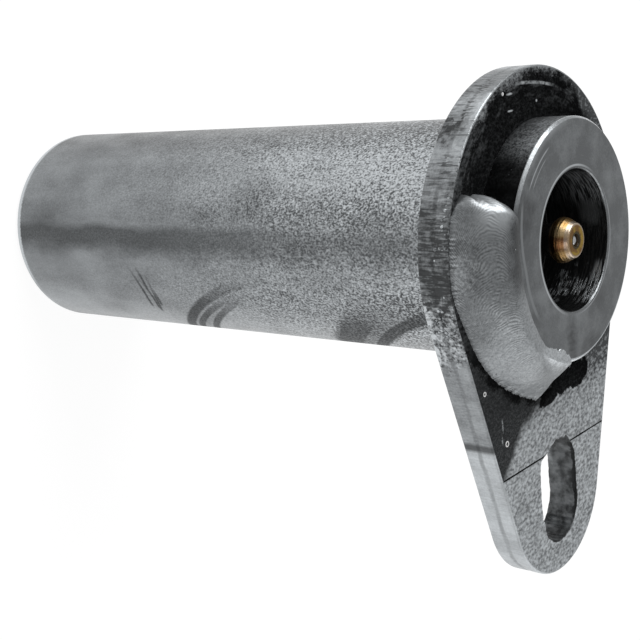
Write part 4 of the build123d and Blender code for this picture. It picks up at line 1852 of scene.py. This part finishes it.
    def build(self, effects: Effects, freeze_lines: FreezeLines) -> Piece:
        """Builds the bead as one closed mesh.

        Args:
            effects: The shared effects.
            freeze_lines: Tree that adds its ripples.

        Returns:
            The bead.
        """
        points, facts = [], []
        shares = np.linspace(0, 1, self.rows)
        nose, crater = self.smooth(self.late, shares), self.smooth(self.crater, shares)
        lumps = [self.waves(self.nose_waves, share) for share in shares]
        for column, angle in enumerate(np.linspace(self.start, self.end, self.columns)):
            way = angle - self.start
            rise = math.sqrt(1 - (1 - min(1.0, way / self.dome)) ** 2)
            lean = max(0.0, 1 - way / self.nose) ** 2
            bite = max(0.0, 1 - (self.end - angle) / self.crater_reach) ** 2
            ends = min(1.0, column / 8, (self.columns - 1 - column) / 3)
            ragged = min(1.0, max(0.4, (angle - 222.0) / 12.0)) * self.waves(self.toe_waves, angle)
            across = self.slice(angle, self.rows)
            for (r, h), share, late, early, lump in zip(across, shares, nose, crater, lumps):
                turn = math.radians(angle + late * lean - early * bite + lean * lump)
                r += ragged * max(0.0, 1 - share * 9)
                h = self.crusted(math.degrees(turn), r, h)
                points.append(polar(r, turn, self.plate_top + h * rise))
                skin = ends * min(1.0, share * 12, (1 - share) * 10)
                facts.append((math.radians(way) * self.middle_radius, share, skin))
            for h in (across[-1][1] * rise / 2, 0.0):
                points.append(polar(self.root_radius, turn, self.plate_top + h))
            facts += [(0.0, 0.5, 0.0)] * 2
        ring = self.rows + 2
        last = (self.columns - 1) * ring
        faces = [
            (near + row, near + (row + 1) % ring, near + ring + (row + 1) % ring, near + ring + row)
            for near in range(0, last, ring) for row in range(ring)
        ]
        faces.append(tuple(reversed(range(ring))))
        faces += [(last + i, last + (i + 1) % ring, len(points)) for i in range(ring)]
        angle, radius, height = self.crater_spot
        spot = polar(radius, math.radians(angle), self.plate_top + height)
        bead = make_piece("weld_seam", points + [spot], faces)
        for name, values in zip(("along", "across", "skin"), np.array(facts + [(0.0,) * 3]).T):
            store(bead, name, values)
        mend(bead)
        freeze_lines.run(bead, Finish=WeldMetal().material(effects))
        bead.data.set_sharp_from_angle(angle=math.radians(60))
        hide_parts("weld_bead")
        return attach(bead, "pin")


@dataclass
class Spatter:
    """Weld spatter on the plate's wall beside the seam, and a few burst bubbles of slag.

    Attributes:
        bubbles: Place on the plate, ring radius and rim radius of each bubble.
        reach: Angle, and radius of the wall that beads may land on.
        density: Angle, and share of the beads there.
        drops: How far below the plate's top the strip of wall begins, and ends in its narrow and
            its wide part.
        widens: Angle at which it widens.
    """

    plate_top: float = 100.25
    bubbles: Rows = (
        (-13.74, -26.25, 0.36, 0.09), (-18.39, -17.35, 0.28, 0.08), (-7.9, 21.5, 0.16, 0.07),
    )
    reach: Rows = ((170, 24.46), (173, 24.3), (187, 24.3), (190, 24.46))
    density: Rows = (
        (154, 0), (157, 0.3), (163, 0.3), (166, 0.05), (173, 0.3), (176, 0.04), (190, 0.08),
        (194, 0.5), (206, 0.5), (210, 0),
    )
    drops: Row = (0.4, 1.1, 4.4)
    widens: float = 172.0
    steps: Row = (148, 214, 2)
    seed: int = 5

    def blow(self, mesh: bmesh.types.BMesh) -> None:
        """Adds the rings of the burst bubbles.

        Args:
            mesh: The mesh that they are added to.
        """
        for x, y, ring, wire in self.bubbles:
            rows = []
            for t in np.linspace(0, 2 * math.pi, 32, endpoint=False):
                row = []
                for a in np.linspace(0, 2 * math.pi, 12, endpoint=False):
                    r, h = ring + wire * math.cos(a), 0.8 * wire * math.sin(a)
                    spot = Vector((x + r * math.cos(t), y + r * math.sin(t), self.plate_top + h))
                    row.append(mesh.verts.new(spot * MM))
                rows.append(row)
            for row, after in zip(rows, rows[1:] + rows[:1]):
                for i in range(len(row)):
                    j = (i + 1) % len(row)
                    mesh.faces.new((row[i], row[j], after[j], after[i]))

    def build(self, effects: Effects, spatter_beads: SpatterBeads) -> Piece:
        """Scatters the beads.

        Args:
            effects: The shared effects.
            spatter_beads: Tree that scatters and shapes them.

        Returns:
            The beads, as one piece.
        """
        points, weight = [], []
        for angle in np.arange(*self.steps, dtype=float):
            tables = (np.array(table).T for table in (self.reach, self.density))
            reach, share = (float(np.interp(angle, *table)) for table in tables)
            for drop in (self.drops[0], self.drops[1 if angle < self.widens else 2]):
                points.append(polar(reach, math.radians(angle), self.plate_top - drop))
                weight.append(share)
        faces = [(i, i + 1, i + 3, i + 2) for i in range(0, len(points) - 2, 2)]
        scatter = make_piece("weld_spatter", points, faces)
        store(scatter, "spatter", weight)
        sizes = {"Beads": 8.0, "Smallest": 0.1, "Largest": 0.3}
        finish = SpatterBead().material(effects)
        spatter_beads.run(scatter, Finish=finish, Seed=self.seed, **sizes)
        mend(scatter, add=self.blow)
        scatter.data.shade_smooth()
        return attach(scatter, "pin")


@dataclass
class GreaseNipple:
    """The grease nipple: turned head, hexagon and thread, its check ball and its valve spring."""

    tip: float = 105.6
    tip_radius: float = 2.5
    collar: float = 0.4
    cone_end: float = 1.3
    cone_radius: float = 3.1
    bulge_start: float = 1.8
    bulge_end: float = 2.3
    bulge_radius: float = 3.25
    neck_start: float = 3.7
    neck_radius: float = 2.3
    hex_top: float = 98.6
    hex_bottom: float = 95.6
    hex_flats: float = 9.0
    hex_bevel: float = 30.0
    thread_radius: float = 4.0
    thread_bottom: float = 90.4
    thread_chamfer: float = 0.5
    inlet_radius: float = 0.95
    seat: float = 105.0
    bore_radius: float = 1.3
    bore_bottom: float = 91.2
    crimp_radius: float = 0.7
    spring_bottom: float = 91.37
    spring_height: float = 11.58
    spring_radius: float = 0.95
    wire_radius: float = 0.148
    spring_turns: float = 5.0
    ball_travel: float = 0.8
    around: int = 120

    def outline(self) -> Outline:
        """Returns the body's closed outline, outside up and back down the bore."""
        tip = self.tip
        return rounded([
            (self.crimp_radius, self.thread_bottom),
            (self.thread_radius - self.thread_chamfer, self.thread_bottom),
            (self.thread_radius, self.thread_bottom + self.thread_chamfer),
            (self.thread_radius, self.hex_bottom),
            (self.neck_radius, self.hex_bottom + 0.01),
            (self.neck_radius, tip - self.neck_start, 0.4),
            (self.bulge_radius, tip - self.bulge_end, 0.3),
            (self.bulge_radius, tip - self.bulge_start, 0.3),
            (self.cone_radius, tip - self.cone_end, 0.25),
            (self.tip_radius + 0.1, tip - self.collar, 0.15),
            (self.tip_radius - 0.08, tip, 0.22),
            (self.inlet_radius, tip, 0.1),
            (self.inlet_radius, self.seat),
            (self.bore_radius, self.seat),
            (self.bore_radius, self.bore_bottom),
            (self.crimp_radius, self.bore_bottom),
            (self.crimp_radius, self.thread_bottom),
        ], hold=0.05)

    def hexagon(self) -> Piece:
        """Builds the hexagon with its bevelled top.

        Returns:
            The hexagon.
        """
        across, below = self.hex_flats / 2, self.hex_bottom - 1
        radius = across / math.cos(math.radians(30))
        ring = [polar(radius, math.radians(60 * k)) for k in range(6)]
        points = [(x, y, z) for z in (self.hex_bottom, self.hex_top) for x, y in ring]
        faces = [(5, 4, 3, 2, 1, 0), (6, 7, 8, 9, 10, 11)]
        faces += [(k, (k + 1) % 6, 6 + (k + 1) % 6, 6 + k) for k in range(6)]
        nut = make_piece("nipple_hexagon", points, faces)
        wide = across + 3
        low = self.hex_top - 3.2 * math.tan(math.radians(self.hex_bevel))
        cone = ((0, below), (wide, below), (wide, low), (across - 0.2, self.hex_top))
        cone = [(r, z, 0) for r, z in cone + ((0, self.hex_top + 0.001),)]
        return cut(nut, turned("hexagon_bevel", cone, 96), "INTERSECT")

    def build(self, effects: Effects, coil_spring: CoilSpring) -> list[Piece]:
        """Builds the nipple's three pieces.

        Args:
            effects: The shared effects.
            coil_spring: Tree that winds the valve spring.

        Returns:
            Body, ball and spring.
        """
        outline = self.outline()
        body = turned("nipple_shell", outline[:-1] + outline[:1], self.around)
        mend(body, merge=1e-7)
        cut(body, self.hexagon(), "UNION")
        body.data.materials.clear()
        body.data.materials.append(YellowZinc().material(effects))
        zones = np.zeros(len(body.data.polygons), np.int32)
        body.data.polygons.foreach_set("material_index", zones)
        body.data.shade_smooth()
        body.data.set_sharp_from_angle(angle=math.radians(35))
        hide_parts("nipple_body")
        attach(body, "pin")

        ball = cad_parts["nipple_ball"]
        ball.data.materials.clear()
        ball.data.materials.append(PolishedBall().material(effects))

        spring = make_piece("valve_spring", [ORIGIN], [])
        sizes = {"Bottom": self.spring_bottom, "Height": self.spring_height}
        sizes |= {"Coil_Radius": self.spring_radius, "Wire_Radius": self.wire_radius}
        finish = DrawnWire().material(effects)
        coil_spring.run(spring, Turns=self.spring_turns, Finish=finish, **sizes)
        spring.data.shade_smooth()
        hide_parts("nipple_spring")
        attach(spring, "pin")
        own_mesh(spring)
        return [body, ball, spring]


# Studio


@dataclass
class Studio:
    """Pale floor, even surround, three soft lamps and the camera at the photograph's angle.

    Attributes:
        lamps: Name, direction from the pin, distance and side in metres, and watts of each lamp.
    """

    aim: Point = (0.0, -6.0, 70.0)
    camera_place: Point = (-144.49, 34.29, 181.31)
    camera_right: Point = (0.6254, -0.1153, 0.7718)
    camera_up: Point = (0.2670, 0.9609, -0.0728)
    lens_pixels: float = 1160.27
    picture: int = 640
    sensor: float = 36.0
    surround: float = 0.42
    glow: float = 0.86
    floor_half: float = 2500.0
    floor_colour: Colour = (0.82, 0.82, 0.82)
    floor_faint: Colour = (0.22, 0.22, 0.22)
    lamps: tuple[tuple[str, Point, float, float, float], ...] = (
        ("key", (0.18, 0.81, 0.50), 0.55, 0.42, 2.0),
        ("fill", (0.15, -0.88, 0.42), 0.60, 0.62, 1.0),
        ("side", (-0.85, -0.25, 0.46), 0.60, 0.30, 0.5),
    )

    def camera(self) -> None:
        """Places the camera."""
        data = bpy.data.cameras.new("photo_view")
        data.sensor_width = self.sensor
        data.lens = self.lens_pixels / self.picture * self.sensor
        data.clip_start, data.clip_end = 0.005, 20.0
        camera = bpy.data.objects.new("photo_view", data)
        bpy.context.scene.collection.objects.link(camera)
        right, up = Vector(self.camera_right).normalized(), Vector(self.camera_up)
        up = (up - right * up.dot(right)).normalized()
        turn = Matrix((right, up, right.cross(up))).transposed().to_4x4()
        camera.matrix_world = Matrix.Translation(Vector(self.camera_place) * MM) @ turn
        bpy.context.scene.camera = camera

    def light(self) -> None:
        """Hangs the lamps round the pin."""
        for name, towards, distance, size, power in self.lamps:
            data = bpy.data.lights.new(name, "AREA")
            data.shape, data.size, data.energy = "SQUARE", size, power
            holder = bpy.data.objects.new(name, data)
            way = Vector(towards).normalized()
            holder.location = Vector(self.aim) * MM + way * distance
            holder.rotation_euler = way.to_track_quat("Z", "Y").to_euler()
            bpy.context.scene.collection.objects.link(holder)

    def surroundings(self) -> None:
        """Sets an even grey surround, which the camera sees as white."""
        world = bpy.data.worlds.new("surround")
        world.use_nodes = True
        bpy.context.scene.world = world
        sheet = Tree(world.node_tree)
        sheet.tree.nodes.clear()
        shown = sheet.add("ShaderNodeLightPath", out="Is Camera Ray").spread(self.surround, 1)
        light = sheet.add("ShaderNodeBackground", {"Color": EVEN, "Strength": shown})
        sheet.node("ShaderNodeOutputWorld", {"Surface": light})

    def floor(self) -> None:
        """Lays the floor, which keeps the pin's shadow and shows white to camera and metal."""
        half = self.floor_half
        corners = [(-half, -half, 0), (half, -half, 0), (half, half, 0), (-half, half, 0)]
        floor = make_piece("floor", corners, [(0, 1, 2, 3)])
        material = bpy.data.materials.new("pale_floor")
        material.use_nodes = True
        sheet = Tree(material.node_tree)
        sheet.tree.nodes.clear()
        path = sheet.node("ShaderNodeLightPath").outputs
        plain = sheet.add("ShaderNodeBsdfDiffuse", {"Color": self.floor_colour})
        faint = sheet.add("ShaderNodeBsdfDiffuse", {"Color": self.floor_faint})
        glow = sheet.add("ShaderNodeEmission", {"Strength": self.glow})
        shown = sheet.add("ShaderNodeAddShader", {0: faint, 1: glow})
        rays = ("Is Camera Ray", "Is Glossy Ray", "Is Transmission Ray")
        seen = reduce(or_, [Value(sheet, path[ray]) for ray in rays])
        surface = sheet.add("ShaderNodeMixShader", {0: seen, 1: plain, 2: shown})
        sheet.node("ShaderNodeOutputMaterial", {"Surface": surface})
        floor.data.materials.append(material)

    def build(self) -> None:
        """Sets up the whole studio."""
        bpy.context.scene.view_settings.view_transform = "Standard"
        self.camera()
        self.light()
        self.surroundings()
        self.floor()


def report(piece: Piece) -> None:
    """Reports a piece's name and size.

    Args:
        piece: The piece.
    """
    piece.data.calc_loop_triangles()
    counts = len(piece.data.vertices), len(piece.data.loop_triangles)
    log.info("%s: %d points, %d triangles", piece.name, *counts)


def main() -> None:
    """Builds the studio and the pin's pieces in order, and reports each."""
    logging.basicConfig(level=logging.INFO, format="%(name)s: %(message)s")
    Studio().build()
    effects = Effects()
    report(TurnedBar().build(effects))
    report(KeeperPlate().build(effects, DragLines()))
    report(WeldSeam().build(effects, FreezeLines()))
    report(Spatter().build(effects, SpatterBeads()))
    for piece in GreaseNipple().build(effects, CoilSpring()):
        report(piece)


if __name__ == "__main__":
    main()
